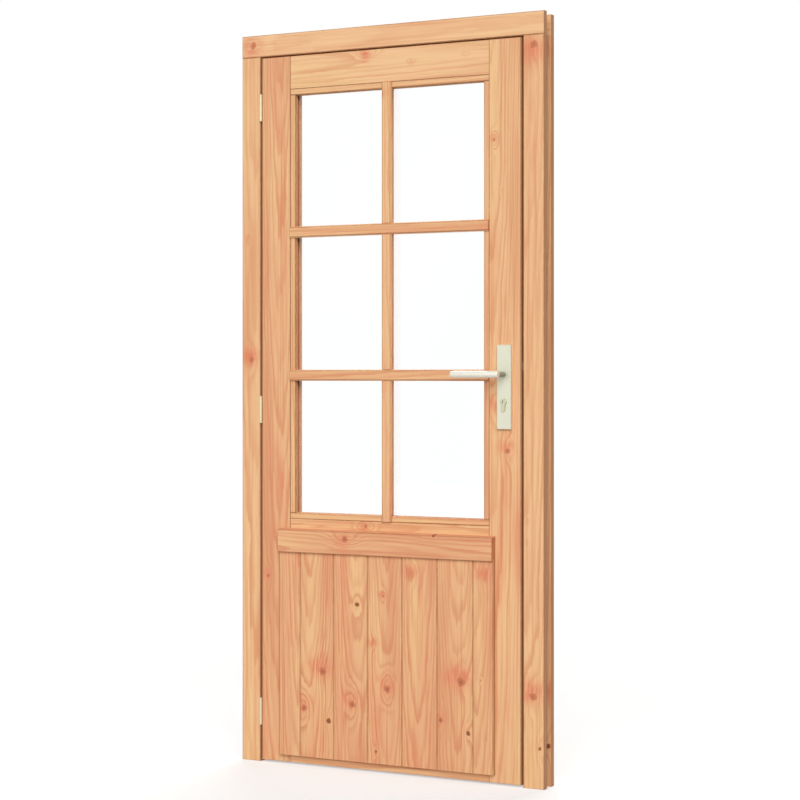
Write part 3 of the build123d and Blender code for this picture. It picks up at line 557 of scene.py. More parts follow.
@dataclass(frozen=True)
class Timber:
    """One timber of the door with its own cut of wood.

    pith is where the tree's middle lies, across and behind the timber's own, in millimetres, and taper how
    fast it draws away along the grain. The rings' spacing and wander are in millimetres too.
    """

    node: str
    grain: Grain
    tone: Tone
    seed: float
    pith: tuple[float, float]
    taper: float = 0.02
    spacing: float = 5.4
    blush: float = 0.5
    wander: float = 14.0
    knots: tuple[Knot, ...] = ()
    cut: Cut = STOCK

    def centre(self) -> np.ndarray:
        """Give the middle of the timber's box, in metres."""
        return sum(corners(self.node)) / 2

    def face(self) -> tuple[np.ndarray, np.ndarray]:
        """Give the box of the timber's foremost face, in metres."""
        mesh = frame["nodes"][self.node].data
        points, normal = np.empty(3 * len(mesh.vertices)), np.empty(3 * len(mesh.polygons))
        size, corner = np.empty(len(mesh.polygons), np.int32), np.empty(len(mesh.loops), np.int32)
        mesh.vertices.foreach_get("co", points)
        mesh.polygons.foreach_get("normal", normal)
        mesh.polygons.foreach_get("loop_total", size)
        mesh.loops.foreach_get("vertex_index", corner)
        points = points.reshape(-1, 3)
        owner = np.repeat(np.arange(len(mesh.polygons)), size)
        flat = normal.reshape(-1, 3)[owner, 1] < -FORWARD
        near = points[corner, 1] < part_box(self.node)[0][1] + FACE_DEPTH
        found = points[corner[flat & near]]
        return found.min(axis=0), found.max(axis=0)

    def turned(self, point: np.ndarray) -> tuple[float, float, float]:
        """Give a point's place across, deep and along the timber's grain, in metres."""
        x, y, z = point - self.centre()
        if self.grain is Grain.LEVEL:
            x, z = z, -x
        return (float(x), float(y), float(z))

    def material(self) -> bpy.types.Material:
        """Build the timber's oiled softwood.

        Returns:
            The material, patterned on Object coordinates turned to the grain.
        """
        made, bench = new_material(f"softwood {self.node}")
        tone, lay = self.tone, LAYERS
        door = object_place(bench)
        low, high = (tuple(map(float, corner)) for corner in self.face())
        # A dark line along the front face's edges: painted shade for the joints.
        line = JOINT_SHADE.place(bench, Vector=door, Low=low, High=high, Width=self.cut.line * MM)["Line"]
        shift = self.turned(np.zeros(3))
        mapping = {"Vector": door, "Location": shift, "Rotation": (0.0, self.grain.value, 0.0)}
        place = bench.node("ShaderNodeMapping", mapping).outputs["Vector"]
        core, heart, stain, lift, dark = self.marks(bench, place)
        rings = RINGS.place(
            bench, Vector=place, Pith=(self.pith[0] * MM, self.pith[1] * MM, 0.0), Taper=self.taper,
            Spacing=self.spacing * MM, Wander=self.wander * MM, Seed=self.seed, Lift=lift,
        )
        early, late, pale, stained = map(linear, (tone.early, tone.late, tone.pale, tone.stain))
        base = bench.mix(bench.ramp(rings["Drift"], *lay.warm), early, late)
        base = bench.mix(bench.ramp(rings["Drift"], *lay.pale), base, pale)
        red = bench.maths("MAXIMUM", bench.maths("MULTIPLY", rings["Blush"], self.blush), stain)
        base = bench.mix(bench.maths("MULTIPLY", red, lay.red), base, stained)
        share = bench.maths("MULTIPLY", rings["Late Wood"], bench.ramp(red, *lay.late_in_red))
        colour = bench.mix(share, base, bench.mix(red, late, stained))
        for mask, span, tint in (
            (rings["Fibre"], lay.fibre, late),
            (rings["Streak"], lay.dark_streak, late),
            (rings["Streak"], lay.pale_streak, pale),
        ):
            colour = bench.mix(bench.ramp(mask, *span), colour, tint)
        # Painted shade: faces that look to the side take a darker colour, and a dark line runs along the
        # front face's edges as the shade in the joints.
        edge = bench.node("ShaderNodeAttribute", attribute_name=SIDE_SHADE_MARK).outputs["Fac"]
        for mask, share, tint in (
            (core, lay.core, tone.knot),
            (heart, lay.heart, tone.heart),
            (dark, lay.dark, tone.dark_knot),
            (bench.ramp(edge, *lay.side_shade_span), lay.side, tone.side),
            (line, lay.seam, tone.seam),
        ):
            colour = bench.mix(bench.maths("MULTIPLY", mask, share), colour, linear(tint))
        height = bench.maths("MULTIPLY_ADD", rings["Fibre"], lay.fibre_relief, rings["Late Wood"])
        bump = {"Height": height, "Strength": lay.bump, "Distance": 0.4 * MM}
        shader = {
            "Base Color": colour,
            "Roughness": bench.ramp(rings["Fibre"], *lay.roughness),
            "Normal": bench.node("ShaderNodeBump", bump).outputs["Normal"],
            "Specular IOR Level": lay.gloss,
        }
        bench.surface(bench.node("ShaderNodeBsdfPrincipled", shader))
        return made

    def marks(self, bench: Bench, place: bpy.types.NodeSocket) -> tuple[object, ...]:
        """Chain the timber's knots.

        Args:
            bench: the material's bench.
            place: the coordinates turned to the grain.

        Returns:
            The masks of the sound knots' cores and hearts and of the stains, the rings' lift, and the mask
            of the dead knots.
        """
        core, heart, stain, lift, dark = 0.0, 0.0, 0.0, 0.0, 0.0
        for knot in self.knots:
            spot = np.array((knot.across * MM, self.centre()[1], knot.height * MM))
            out = KNOT.place(
                bench, Vector=place, Centre=self.turned(spot), Radius=knot.radius * MM, Height=knot.swell,
                Side=(KNOT_FORM.aside, 0.0, -knot.above), Stain=knot.stain,
                Core_In=dark if knot.kind is Spot.DARK else core, Heart_In=heart, Stain_In=stain,
                Lift_In=lift,
            )
            stain, lift = out["Stain"], out["Lift"]
            if knot.kind is Spot.DARK:
                dark = out["Core"]
            elif knot.kind is Spot.ROUND:
                core, heart = out["Core"], out["Heart"]
        return core, heart, stain, lift, dark


@dataclass(frozen=True)
class Metal:
    """A satin metal finish."""

    name: str
    colour: Colour
    shade: Colour
    metallic: float = 0.6
    roughness: float = 0.38
    lines: Triple = (900.0, 900.0, 40.0)
    spread: tuple[float, float] = (-0.05, 0.07)
    bump: float = 0.03

    def material(self) -> bpy.types.Material:
        """Build the finish: two close colours in slow patches, and a roughness that follows fine lines."""
        made, bench = new_material(self.name)
        skin = SATIN.place(bench, Vector=object_place(bench), Stretch=self.lines)
        patches = bench.ramp(skin["Patches"], 0.35, 0.75, 0.0, 0.5)
        low, high = self.roughness + self.spread[0], self.roughness + self.spread[1]
        bump = {"Height": skin["Lines"], "Strength": self.bump, "Distance": 0.1 * MM}
        shader = {
            "Base Color": bench.mix(patches, linear(self.colour), linear(self.shade)),
            "Metallic": self.metallic,
            "Roughness": bench.ramp(skin["Lines"], 0.25, 0.75, low, high),
            "Normal": bench.node("ShaderNodeBump", bump).outputs["Normal"],
        }
        bench.surface(bench.node("ShaderNodeBsdfPrincipled", shader))
        return made


@dataclass(frozen=True)
class Glass:
    """Clear float glass."""

    name: str = "clear float glass"
    colour: Colour = (255, 255, 255)
    streak: Colour = (254, 255, 255)
    ior: float = 1.45

    def material(self) -> bpy.types.Material:
        """Build the glass: all but colourless, with slow streaks, and clear to shadow rays."""
        made, bench = new_material(self.name)
        slow = bench.ramp(bench.noise(object_place(bench), (2.0, 2.0, 1.0), 1.0)["Fac"], 0.3, 0.7)
        colour = bench.mix(slow, linear(self.colour), linear(self.streak))
        values = {"Base Color": colour, "Roughness": 0.0, "IOR": self.ior, "Transmission Weight": 1.0}
        shader = bench.node("ShaderNodeBsdfPrincipled", values)
        clear = bench.node("ShaderNodeBsdfTransparent")
        shadow = bench.node("ShaderNodeLightPath").outputs["Is Shadow Ray"]
        inputs = {0: shadow, 1: shader.outputs[0], 2: clear.outputs[0]}
        bench.surface(bench.node("ShaderNodeMixShader", inputs))
        return made


@dataclass(frozen=True)
class Moulding:
    """A plain matt stuff with a fine grain, such as rubber or putty."""

    name: str
    colour: Colour
    shade: Colour

    def material(self) -> bpy.types.Material:
        """Build the finish, mottled between two close colours."""
        made, bench = new_material(self.name)
        grain = bench.noise(object_place(bench), 420.0)["Fac"]
        values = {
            "Base Color": bench.mix(bench.ramp(grain, 0.3, 0.7), linear(self.colour), linear(self.shade)),
            "Roughness": bench.ramp(grain, 0.3, 0.7, 0.5, 0.65),
        }
        bench.surface(bench.node("ShaderNodeBsdfPrincipled", values))
        return made


def paint(thing: bpy.types.Object, finish: bpy.types.Material) -> None:
    """Give an object one finish in all its slots."""
    thing.data.materials.clear()
    thing.data.materials.append(finish)
    thing.data.polygons.foreach_set("material_index", np.zeros(len(thing.data.polygons), np.int32))


def shell(name: str, sheets: list[np.ndarray], crease: float = 32.0) -> bpy.types.Object:
    """Make one object from sheets of points that close at their seams.

    Args:
        name: the object's name.
        sheets: each rows by columns by three, in metres.
        crease: the angle in degrees past which an edge stays sharp.

    Returns:
        The object. In each sheet a face joins points (i, j), (i, j + 1), (i + 1, j + 1) and (i + 1, j); rows,
        columns and poles that fall together are then made one.
    """
    faces, start = [], 0
    for sheet in sheets:
        rows, columns = sheet.shape[:2]
        number = start + np.arange(rows * columns).reshape(rows, columns)
        corners = (number[:-1, :-1], number[:-1, 1:], number[1:, 1:], number[1:, :-1])
        faces += np.stack(corners, axis=-1).reshape(-1, 4).tolist()
        start += rows * columns
    mesh = bpy.data.meshes.new(name)
    mesh.from_pydata(np.concatenate([sheet.reshape(-1, 3) for sheet in sheets]).tolist(), [], faces)
    shape = bmesh.new()
    shape.from_mesh(mesh)
    bmesh.ops.remove_doubles(shape, verts=shape.verts, dist=1e-6)
    if not any(edge.is_boundary for edge in shape.edges):
        bmesh.ops.recalc_face_normals(shape, faces=shape.faces)
    shape.to_mesh(mesh)
    shape.free()
    mesh.shade_smooth()
    mesh.set_sharp_from_angle(angle=math.radians(crease))
    made = bpy.data.objects.new(name, mesh)
    bpy.context.scene.collection.objects.link(made)
    return made


def turned_solid(start: np.ndarray, axis: np.ndarray, profile: np.ndarray, sides: int = 48) -> np.ndarray:
    """Turn a profile about an axis, as on a lathe.

    Args:
        start: the point of the axis that the profile is measured from, in metres.
        axis: its unit direction.
        profile: rows of distance along the axis and radius, in millimetres, from pole to pole.
        sides: how many steps go round.

    Returns:
        The sheet P(s, a) = start + along(s) axis + radius(s) (cos a e + sin a f), with e and f square to it.
    """
    first = np.cross(axis, (0.0, 0.0, 1.0) if abs(axis[2]) < 0.9 else (1.0, 0.0, 0.0))
    first /= np.linalg.norm(first)
    second = np.cross(axis, first)
    angle = np.linspace(0, 2 * np.pi, sides + 1)
    ring = np.cos(angle)[:, None] * first + np.sin(angle)[:, None] * second
    ring[-1] = ring[0]
    along, radius = (profile * MM).T
    return start + along[:, None, None] * axis + radius[:, None, None] * ring


def bar_profile(length: float, first: float, last: float, rounding: float) -> np.ndarray:
    """Give the profile of a round bar with rounded ends.

    Args:
        length: its length, in millimetres.
        first: its radius at the start.
        last: its radius at the end.
        rounding: the radius of its rounded ends.

    Returns:
        Rows (along, radius): a quarter circle at each end, (r (1 - cos t), R - r + r sin t), and a straight
        run between them, from pole to pole.
    """
    turn = np.linspace(0, np.pi / 2, ROUNDING_STEPS)
    near, high = rounding * (1 - np.cos(turn)), rounding * np.sin(turn) - rounding
    along = np.concatenate([[0.0], near, length - near[::-1], [length]])
    radius = np.concatenate([[0.0], first + high, last + high[::-1], [0.0]])
    return np.stack([along, radius], axis=-1)


def mark_side_shade(mesh: bpy.types.Mesh) -> None:
    """Write on each face how squarely it faces to the side, as the size of its normal's X from 0 to 1: the
    mask of the timbers' painted shade on side faces.
    """
    normal = np.empty(3 * len(mesh.polygons))
    mesh.polygons.foreach_get("normal", normal)
    mark = mesh.attributes.new(SIDE_SHADE_MARK, "FLOAT", "FACE")
    mark.data.foreach_set("value", np.abs(normal[0::3]))


def eased_copy(node: str, cut: Cut) -> bpy.types.Object:
    """Copy a timber and round its edges a little, as a planer and sandpaper leave them.

    Args:
        node: the timber's node.
        cut: how it is dressed.

    Returns:
        The copy, which stands for the node and moves with its body.
    """
    source = frame["nodes"][node]
    made = bpy.data.objects.new(f"{node}_eased", source.data.copy())
    bpy.context.scene.collection.objects.link(made)
    shape = bmesh.new()
    shape.from_mesh(made.data)
    bmesh.ops.remove_doubles(shape, verts=shape.verts, dist=WELD)
    bmesh.ops.dissolve_limit(shape, angle_limit=FLAT_ANGLE, verts=shape.verts, edges=shape.edges)
    shape.to_mesh(made.data)
    shape.free()
    points = np.empty(3 * len(made.data.vertices))
    made.data.vertices.foreach_get("co", points)
    points[1::3] -= cut.clear * MM * (points[1::3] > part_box(node)[1][1] - WELD)
    made.data.vertices.foreach_set("co", points)
    made.data.update()
    mark_side_shade(made.data)
    bevel = made.modifiers.new("eased edges", "BEVEL")
    bevel.width = cut.ease * MM
    bevel.segments = EASED_FACETS
    bevel.limit_method = "ANGLE"
    bevel.angle_limit = EASED_ANGLE
    bevel.use_clamp_overlap = True
    bevel.harden_normals = False
    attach(made, source["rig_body"])
    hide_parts(node)
    return made


@dataclass
class Joinery:
    """The timbers of the frame and the leaf."""

    timbers: tuple[Timber, ...]
    boards: tuple[str, ...] = tuple(f"board_{number}" for number in range(1, 8))

    def build(self) -> None:
        """Ease every timber's edges and give it its own wood."""
        for timber in self.timbers:
            piece = eased_copy(timber.node, timber.cut)
            paint(piece, timber.material())
            log.info("%s: %d faces", piece.name, len(piece.data.polygons))


@dataclass
class Lever:
    """A round lever on one side of the door: a tapered grip and the neck that carries it.

    Its sizes are in millimetres: the radii of grip, tip and neck, how round the grip's ends are, and how
    far the neck's middle stands in from the grip's end.
    """

    node: str
    outwards: int
    grip: float = 9.5
    tip: float = 8.6
    neck: float = 6.75
    rounding: float = 2.6
    root: float = 6.75
    neck_rounding: float = 0.4
    neck_sides: int = 32

    def build(self, finish: bpy.types.Material, painted_shade: bpy.types.Material) -> None:
        """Turn grip and neck and let them ride on the handle.

        Args:
            finish: the grip's finish, the handle's aluminium made lighter as painted light, with lines drawn
                along it.
            painted_shade: the neck's finish, the handle's aluminium made darker as painted shade.
        """
        low, high = corners(self.node)
        grip_y = low[1] + self.grip * MM if self.outwards < 0 else high[1] - self.grip * MM
        inner_y = high[1] if self.outwards < 0 else low[1]
        level = (low[2] + high[2]) / 2
        start = np.array((high[0], grip_y, level))
        length = (high[0] - low[0]) / MM
        bar = bar_profile(length, self.grip, self.tip, self.rounding)
        grip = turned_solid(start, np.array((-1.0, 0.0, 0.0)), bar)
        foot = np.array((high[0] - self.root * MM, inner_y, level))
        reach = abs(grip_y - inner_y) / MM
        bar = bar_profile(reach, self.neck, self.neck, self.neck_rounding)
        neck = turned_solid(foot, np.array((0.0, float(self.outwards), 0.0)), bar, self.neck_sides)
        body = frame["nodes"][self.node]["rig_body"]
        for name, sheet, material in (("grip", grip, finish), ("neck", neck, painted_shade)):
            piece = shell(f"{self.node}_{name}", [sheet])
            paint(piece, material)
            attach(piece, body)
            if name == "grip":
                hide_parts(self.node)
            log.info("%s: %d faces", piece.name, len(piece.data.polygons))


@dataclass
class HingePin:
    """A hinge's pin with a domed head; its sizes are in millimetres."""

    node: str
    shank: float = 2.0
    head: float = 3.4
    dome: float = 1.2
    crown: float = 0.8
    sides: int = 24

    def build(self, finish: bpy.types.Material) -> None:
        """Turn the pin: a straight shank, then a head whose height falls as the square of its radius.

        Args:
            finish: its finish.
        """
        low, high = corners(self.node)
        middle = (low + high) / 2
        length = (high[2] - low[2]) / MM
        radius = np.linspace(self.head, 0, 9)
        crown = length - self.crown * self.dome * (radius / self.head) ** 2
        rim = length - self.dome
        along = np.concatenate([[0.0, 0.0, rim, rim], crown])
        across = np.concatenate([[0.0, self.shank, self.shank, self.head], radius])
        start = np.array((middle[0], middle[1], low[2]))
        profile = np.stack([along, across], axis=-1)
        sheet = turned_solid(start, np.array((0.0, 0.0, 1.0)), profile, self.sides)
        piece = shell(f"{self.node}_turned", [sheet])
        paint(piece, finish)
        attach(piece, frame["nodes"][self.node]["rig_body"])
        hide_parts(self.node)
        log.info("%s: %d faces", piece.name, len(piece.data.polygons))


@dataclass
class Plug:
    """A cylinder's plug with the keyway in its face; its sizes are in millimetres."""

    node: str
    outwards: int
    keyway_height: float = 7.6
    keyway_width: float = 1.9
    keyway_depth: float = 3.2
    keyway_jog: float = 0.45
    jog_height: float = 0.4
    edge: float = 0.12
    steps: int = 61

    def build(self, finish: bpy.types.Material) -> None:
        """Work out the plug's face, side and back.

        The face maps the square (u, v) to the disc (u sqrt(1 - v^2 / 2), v sqrt(1 - u^2 / 2)), and sinks
        by the keyway's depth inside the keyway's outline, which jogs sideways at mid-height.

        Args:
            finish: its finish.
        """
        low, high = corners(self.node)
        middle = (low + high) / 2
        radius = (high[0] - low[0]) / 2
        face_y, back_y = (low[1], high[1]) if self.outwards < 0 else (high[1], low[1])
        u, v = np.meshgrid(*2 * [np.linspace(-1, 1, self.steps)])
        x, z = radius * u * np.sqrt(1 - v**2 / 2), radius * v * np.sqrt(1 - u**2 / 2)
        jog = self.keyway_jog * MM * np.tanh(z / (self.jog_height * MM))
        edge = self.edge * MM
        across = np.clip((self.keyway_width * MM / 2 - np.abs(x - jog)) / edge + 0.5, 0, 1)
        tall = np.clip((self.keyway_height * MM / 2 - np.abs(z)) / edge + 0.5, 0, 1)
        y = face_y - self.outwards * self.keyway_depth * MM * across * tall
        face = np.stack([middle[0] + x, y, middle[2] + z], axis=-1)
        rim = np.concatenate([face[0, :-1], face[:-1, -1], face[-1, :0:-1], face[::-1, 0]])
        back = rim.copy()
        back[:, 1] = back_y
        pole = np.broadcast_to(np.array((middle[0], back_y, middle[2])), rim.shape)
        piece = shell(f"{self.node}_cut", [face, np.stack([rim, back, pole])])
        paint(piece, finish)
        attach(piece, frame["nodes"][self.node]["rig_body"])
        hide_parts(self.node)
        log.info("%s: %d faces", piece.name, len(piece.data.polygons))


@dataclass
class Fittings:
    """Hinges, lock, plates and levers, and the finish that each node has."""

    finishes: dict[str, Metal]
    worn_by: dict[str, tuple[str, ...]]
    sides: tuple[tuple[str, int], ...] = (("outer", -1), ("inner", 1))

    def build(self) -> None:
        """Give every metal node its finish, then turn the levers, pins and plugs."""
        made = {key: metal.material() for key, metal in self.finishes.items()}
        for key, nodes in self.worn_by.items():
            for node in nodes:
                paint(frame["nodes"][node], made[key])
            log.info("%s: %d nodes", key, len(nodes))
        for side, outwards in self.sides:
            Lever(f"{side}_lever", outwards).build(made["lever"], made["neck"])
            Plug(f"{side}_plug", outwards).build(made["cylinder"])
        for place in PLACES:
            HingePin(f"{place}_hinge_pin").build(made["hinge"])


@dataclass
class Glazing:
    """The sealed unit with its spacer, blocks and bedding."""

    panes: tuple[str, ...] = ("outer_pane", "inner_pane")
    bedding: float = 2.0
    tuck: float = 0.2

    def build(self) -> None:
        """Give panes, spacer and blocks their finishes."""
        glass = Glass().material()
        for node in self.panes:
            paint(frame["nodes"][node], glass)
        spacer = Metal("mill finish spacer", (206, 208, 206), (190, 193, 192), 0.6, 0.45).material()
        paint(frame["nodes"]["glass_spacer"], spacer)
        block = Moulding("setting block", (46, 46, 47), (58, 58, 58)).material()
        paint(frame["nodes"]["setting_blocks"], block)
        self.seal()
        log.info("glazing: %d panes", len(self.panes))

    def seal(self) -> None:
        """Run a small fillet of putty round the opening, where the beads meet the glass.

        Its section is r (1 - cos t, 1 - sin t), hollow towards the opening, carried round the four mitred
        corners and tucked a little under the beads.
        """
        left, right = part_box("hinge_side_bead")[1][0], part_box("lock_side_bead")[0][0]
        bottom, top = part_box("bottom_bead")[1][2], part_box("top_bead")[0][2]
        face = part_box("outer_pane")[0][1]
        turn = np.linspace(0, np.pi / 2, 6)
        size, under = self.bedding * MM, -self.tuck * MM
        inwards = np.concatenate([[under], size * (1 - np.cos(turn))[::-1], [under, under]])
        proud = np.concatenate([[0.0], size * (1 - np.sin(turn))[::-1], [size, 0.0]])
        corner_x = np.array((left, right, right, left, left))
        corner_z = np.array((bottom, bottom, top, top, bottom))
        sign_x, sign_z = np.array((1, -1, -1, 1, 1)), np.array((1, 1, -1, -1, 1))
        x = corner_x + inwards[:, None] * sign_x
        z = corner_z + inwards[:, None] * sign_z
        y = np.broadcast_to(face - proud[:, None], x.shape)
        piece = shell("bedding", [np.stack([x, y, z], axis=-1)])
        paint(piece, Moulding("brown putty", (196, 136, 90), (182, 122, 78)).material())
        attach(piece, frame["nodes"]["outer_pane"]["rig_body"])


@dataclass
class Studio:
    """Pale floor, white surroundings, soft light and the camera.

    glow is what the floor adds for seen rays alone: it lifts the lit floor to white and leaves its shadow.
    """

    ambient: float = 0.12
    key: float = 2.3
    key_from: Triple = (0.41, -0.73, 0.55)
    fill: float = 0.60
    fill_from: Triple = (-0.10, -0.96, 0.26)
    rear: float = 1.9
    rear_from: Triple = (-0.25, 0.75, 0.60)
    softness: float = math.radians(42)
    floor_half: float = 14.0
    floor_colour: Colour = (202, 202, 201)
    glow: float = 0.47
    eye: Triple = (3.0485, -5.235, 1.072)
    turn: float = math.radians(29.985)
    lens: float = 101.43
    shift: float = -0.0325

    def build(self) -> None:
        """Build floor, world, lamps and camera."""
        self.floor()
        self.world()
        self.lamp("key", self.key, self.key_from)
        self.lamp("fill", self.fill, self.fill_from)
        self.lamp("rear", self.rear, self.rear_from)
        self.camera()

    @staticmethod
    def seen(bench: Bench) -> bpy.types.NodeSocket:
        """Tell whether a ray is the camera's, or shows the surroundings in metal or glass."""
        path = bench.node("ShaderNodeLightPath").outputs
        shown = bench.maths("ADD", path["Is Camera Ray"], path["Is Glossy Ray"], clamp=True)
        return bench.maths("ADD", shown, path["Is Transmission Ray"], clamp=True)

    def floor(self) -> None:
        """Lay the floor, the plane P(s, t) = (s, t, 0)."""
        span = np.linspace(-self.floor_half, self.floor_half, 9)
        x, y = np.meshgrid(span, span)
        plane = shell("floor", [np.stack([x, y, np.zeros_like(x)], axis=-1)])
        made, bench = new_material("pale floor")
        diffuse = bench.node("ShaderNodeBsdfDiffuse", {"Color": linear(self.floor_colour)}).outputs[0]
        glow = bench.node("ShaderNodeEmission", {"Color": WHITE, "Strength": self.glow}).outputs[0]
        nothing = bench.node("ShaderNodeEmission", {"Strength": 0.0}).outputs[0]
        lit = bench.node("ShaderNodeMixShader", {0: self.seen(bench), 1: nothing, 2: glow}).outputs[0]
        bench.surface(bench.node("ShaderNodeAddShader", {0: diffuse, 1: lit}))
        plane.data.materials.append(made)

    def world(self) -> None:
        """Make the surroundings white to look at and softer as a light."""
        world = bpy.data.worlds.new("studio")
        bpy.context.scene.world = world
        world.use_nodes = True
        world.node_tree.nodes.clear()
        bench = Bench(world.node_tree)
        seen = self.seen(bench)
        level = bench.maths("MULTIPLY_ADD", seen, 1.0 - self.ambient, self.ambient)
        shown = bench.node("ShaderNodeBackground", {"Color": WHITE, "Strength": level})
        bench.node("ShaderNodeOutputWorld", {"Surface": shown.outputs[0]})

    def lamp(self, name: str, power: float, source: Triple) -> None:
        """Hang a soft lamp of a strength, to shine from a direction."""
        light = bpy.data.lights.new(name, "SUN")
        light.energy = power
        light.angle = self.softness
        lamp = bpy.data.objects.new(name, light)
        bpy.context.scene.collection.objects.link(lamp)
        lamp.rotation_euler = Vector(source).to_track_quat("Z", "Y").to_euler()

    def camera(self) -> None:
        """Set up the camera, level and turned, with a small shift."""
        data = bpy.data.cameras.new("camera")
        data.lens = self.lens
        data.sensor_width = 36.0
        data.shift_y = self.shift
        camera = bpy.data.objects.new("camera", data)
        bpy.context.scene.collection.objects.link(camera)
        camera.location = self.eye
        camera.rotation_euler = (math.pi / 2, 0.0, self.turn)
        bpy.context.scene.camera = camera


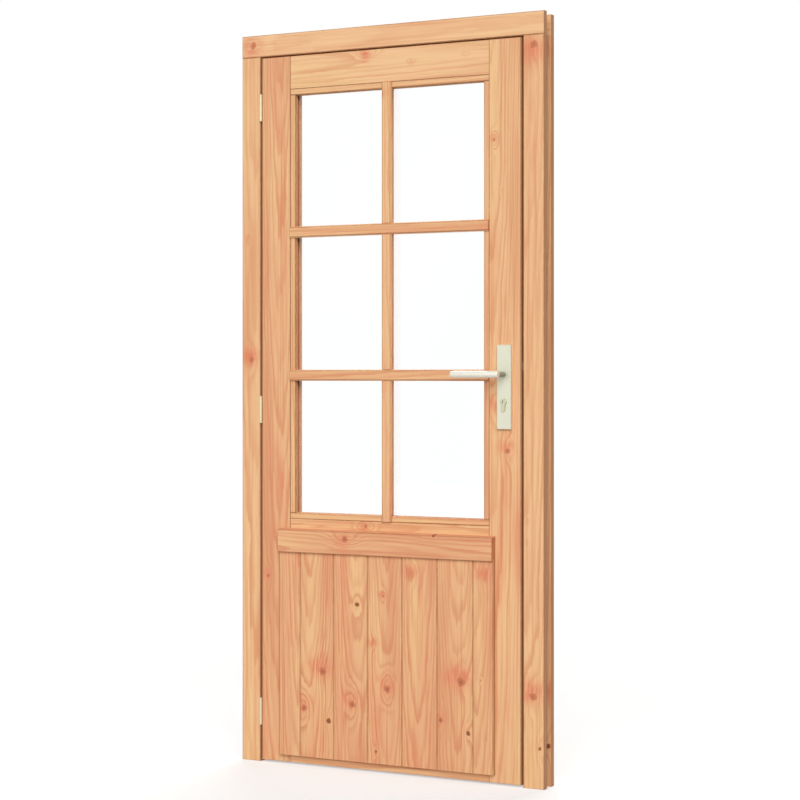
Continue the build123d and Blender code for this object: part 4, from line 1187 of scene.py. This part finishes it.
UP, LEVEL = Grain.UPRIGHT, Grain.LEVEL
TIMBERS = (
    Timber(
        "hinge_jamb", UP, HONEY, 1.3, (14.0, 95.0), 0.012,
        knots=(Knot(-437, 1112, 9, 1.0), Knot(-446, 1445, 3.4, 0.4)),
    ),
    Timber(
        "lock_jamb", UP, HONEY, 7.9, (-22.0, 88.0), 0.018,
        knots=(
            Knot(438, 1925, 11.5, 1.0, above=-1.6), Knot(420, 692, 2.8, 0.1, Spot.DARK),
            Knot(418, 636, 1.9, 0.1, Spot.DARK), Knot(436, 238, 11.5, 1.0),
            Knot(456, 105, 6.5, 0.2, Spot.DARK),
        ),
    ),
    Timber(
        "frame_head", LEVEL, BUTTER, 3.1, (12.0, 84.0), 0.010, blush=0.2,
        knots=(Knot(-430, 1983, 10.3, 0.8),),
    ),
    Timber(
        "hinge_stile", UP, PINK, 11.2, (6.0, 52.0), 0.030, blush=0.7,
        knots=(Knot(-382, 515, 5.8, 0.6),),
    ),
    Timber(
        "lock_stile", UP, HONEY, 5.4, (-34.0, 60.0), 0.020,
        knots=(
            Knot(322, 1683, 4.6, 0.7, swell=3.5), Knot(343, 1551, 1.7, 0.2, Spot.DARK),
            Knot(361, 872, 7.5, 1.0, swell=2.4), Knot(322, 985, 9, 0.8, Spot.PATCH),
        ),
    ),
    Timber(
        "top_rail", LEVEL, BUTTER, 9.6, (26.0, 62.0), 0.014, blush=0.25,
        knots=(
            Knot(-63, 1938, 5.8, 1.0, Spot.PATCH, 3.2), Knot(74, 1906, 2.8, 0.4), Knot(237, 1914, 2.1, 0.3),
        ),
    ),
    Timber(
        "mid_rail", LEVEL, HONEY, 2.2, (30.0, 58.0), 0.012, knots=(Knot(-68, 661, 5.8, 0.8, swell=3.2),),
    ),
    Timber("bottom_rail", LEVEL, HONEY, 4.7, (-10.0, 80.0), 0.012),
    Timber("top_bead", LEVEL, HONEY, 6.6, (40.0, 50.0), 0.01, cut=BEAD),
    Timber("bottom_bead", LEVEL, PINK, 8.1, (44.0, 44.0), 0.01, cut=BEAD),
    Timber("hinge_side_bead", UP, HONEY, 10.4, (36.0, 56.0), 0.01, cut=BEAD),
    Timber("lock_side_bead", UP, PINK, 12.9, (-36.0, 52.0), 0.01, cut=BEAD),
    Timber("lower_crossbar", LEVEL, PINK, 14.2, (24.0, 60.0), 0.012, cut=BAR),
    Timber("upper_crossbar", LEVEL, HONEY, 16.8, (20.0, 50.0), 0.012, blush=0.6, cut=BAR),
    Timber(
        "upright_bar", UP, HONEY, 18.5, (22.0, 48.0), 0.012, blush=0.5, cut=BAR,
        knots=(Knot(-12, 1821, 4.6, 0.8, Spot.PATCH), Knot(-5, 1067, 3.9, 0.4, Spot.PATCH)),
    ),
    Timber("board_1", UP, ROSE, 21.0, (26.0, 46.0), 0.03, blush=0.7, cut=BOARD),
    Timber(
        "board_2", UP, ROSE, 23.7, (-30.0, 58.0), 0.05, blush=0.5, cut=BOARD,
        knots=(
            Knot(-197, 263, 11.5, 0.9), Knot(-256, 160, 9.2, 0.7, swell=3.0),
            Knot(-178, 130, 7.6, 0.2, Spot.DARK),
        ),
    ),
    Timber(
        "board_3", UP, PINK, 26.1, (18.0, 66.0), 0.04, blush=0.4, cut=BOARD,
        knots=(Knot(-88, 451, 6.5, 0.15, Spot.DARK), Knot(-103, 180, 10.3, 0.8, swell=3.2)),
    ),
    Timber(
        "board_4", UP, ROSE, 28.9, (4.0, 50.0), 0.05, blush=0.55, cut=BOARD,
        knots=(
            Knot(6, 229, 10.3, 0.6, swell=4.5), Knot(-35, 346, 4.6, 1.0, Spot.PATCH),
            Knot(-6, 477, 3.4, 0.9), Knot(-28, 59, 3.2, 0.1, Spot.DARK),
        ),
    ),
    Timber(
        "board_5", UP, PINK, 31.4, (-6.0, 60.0), 0.04, blush=0.45, cut=BOARD,
        knots=(Knot(86, 541, 6.9, 0.9, Spot.PATCH),),
    ),
    Timber(
        "board_6", UP, PINK, 33.3, (10.0, 54.0), 0.05, blush=0.4, cut=BOARD,
        knots=(
            Knot(231, 263, 12.6, 0.9), Knot(170, 159, 6.9, 0.6, swell=3.2),
            Knot(252, 130, 6.5, 0.15, Spot.DARK),
        ),
    ),
    Timber(
        "board_7", UP, PINK, 36.6, (-26.0, 60.0), 0.04, blush=0.5, cut=BOARD,
        knots=(Knot(298, 545, 6.9, 1.0, Spot.PATCH), Knot(289, 272, 1.9, 0.1, Spot.DARK)),
    ),
    Timber(
        "weather_moulding", LEVEL, ROSE, 39.2, (-24.0, 50.0), 0.02, blush=0.7,
        knots=(Knot(-122, 626, 9.2, 0.5, swell=3.0), Knot(151, 645, 4.3, 0.1, Spot.DARK)),
    ),
)

FINISHES = {
    "handle": Metal("satin anodised aluminium", (214, 213, 192), (208, 208, 187), 0.3, 0.34),
    # painted light: the grip's aluminium is lighter than the handle's, standing in for its highlight; its
    # drawn lines run along the grip.
    "lever": Metal("brushed aluminium", (230, 226, 213), (226, 222, 208), 0.25, 0.3, (30.0, 500.0, 500.0)),
    # painted shade: the neck's aluminium is darker than the handle's, standing in for the shade that it sits
    # in.
    "neck": Metal("shaded aluminium", (142, 145, 128), (132, 135, 118), 0.3, 0.4),
    "hinge": Metal("pale plated steel", (216, 205, 172), (206, 195, 162), 0.3, 0.4),
    "lock": Metal("zinc plated steel", (190, 190, 186), (172, 171, 165), 0.75, 0.35),
    "screw": Metal("zinc plated screws", (205, 202, 188), (186, 182, 166), 0.75, 0.32),
    "cylinder": Metal("nickel plated brass", (196, 195, 168), (184, 182, 156), 0.5, 0.3),
}
PLACES = ("top", "middle", "bottom")
WORN_BY = {
    "handle": ("outer_plate", "inner_plate", "outer_lever", "inner_lever"),
    "hinge": tuple(
        f"{place}_hinge_{part}" for place in PLACES for part in ("frame_leaf", "door_leaf", "pin")
    ),
    "lock": (
        "lock_case", "lock_cover", "forend", "strike_plate", "latch_bolt", "dead_bolt", "follower",
        "spindle",
    ),
    "screw": (
        "head_screws", "frame_hinge_screws", "door_hinge_screws", "strike_screws", "forend_screws",
        "cylinder_screw", "plate_screws",
    ),
    "cylinder": ("cylinder_body", "outer_plug", "inner_plug", "cylinder_cam"),
}


def main() -> None:
    """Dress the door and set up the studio."""
    logging.basicConfig(level=logging.INFO, format="%(message)s")
    bpy.context.scene.view_settings.view_transform = "Standard"
    Joinery(TIMBERS).build()
    Fittings(FINISHES, WORN_BY).build()
    Glazing().build()
    Studio().build()


if __name__ == "__main__":
    main()
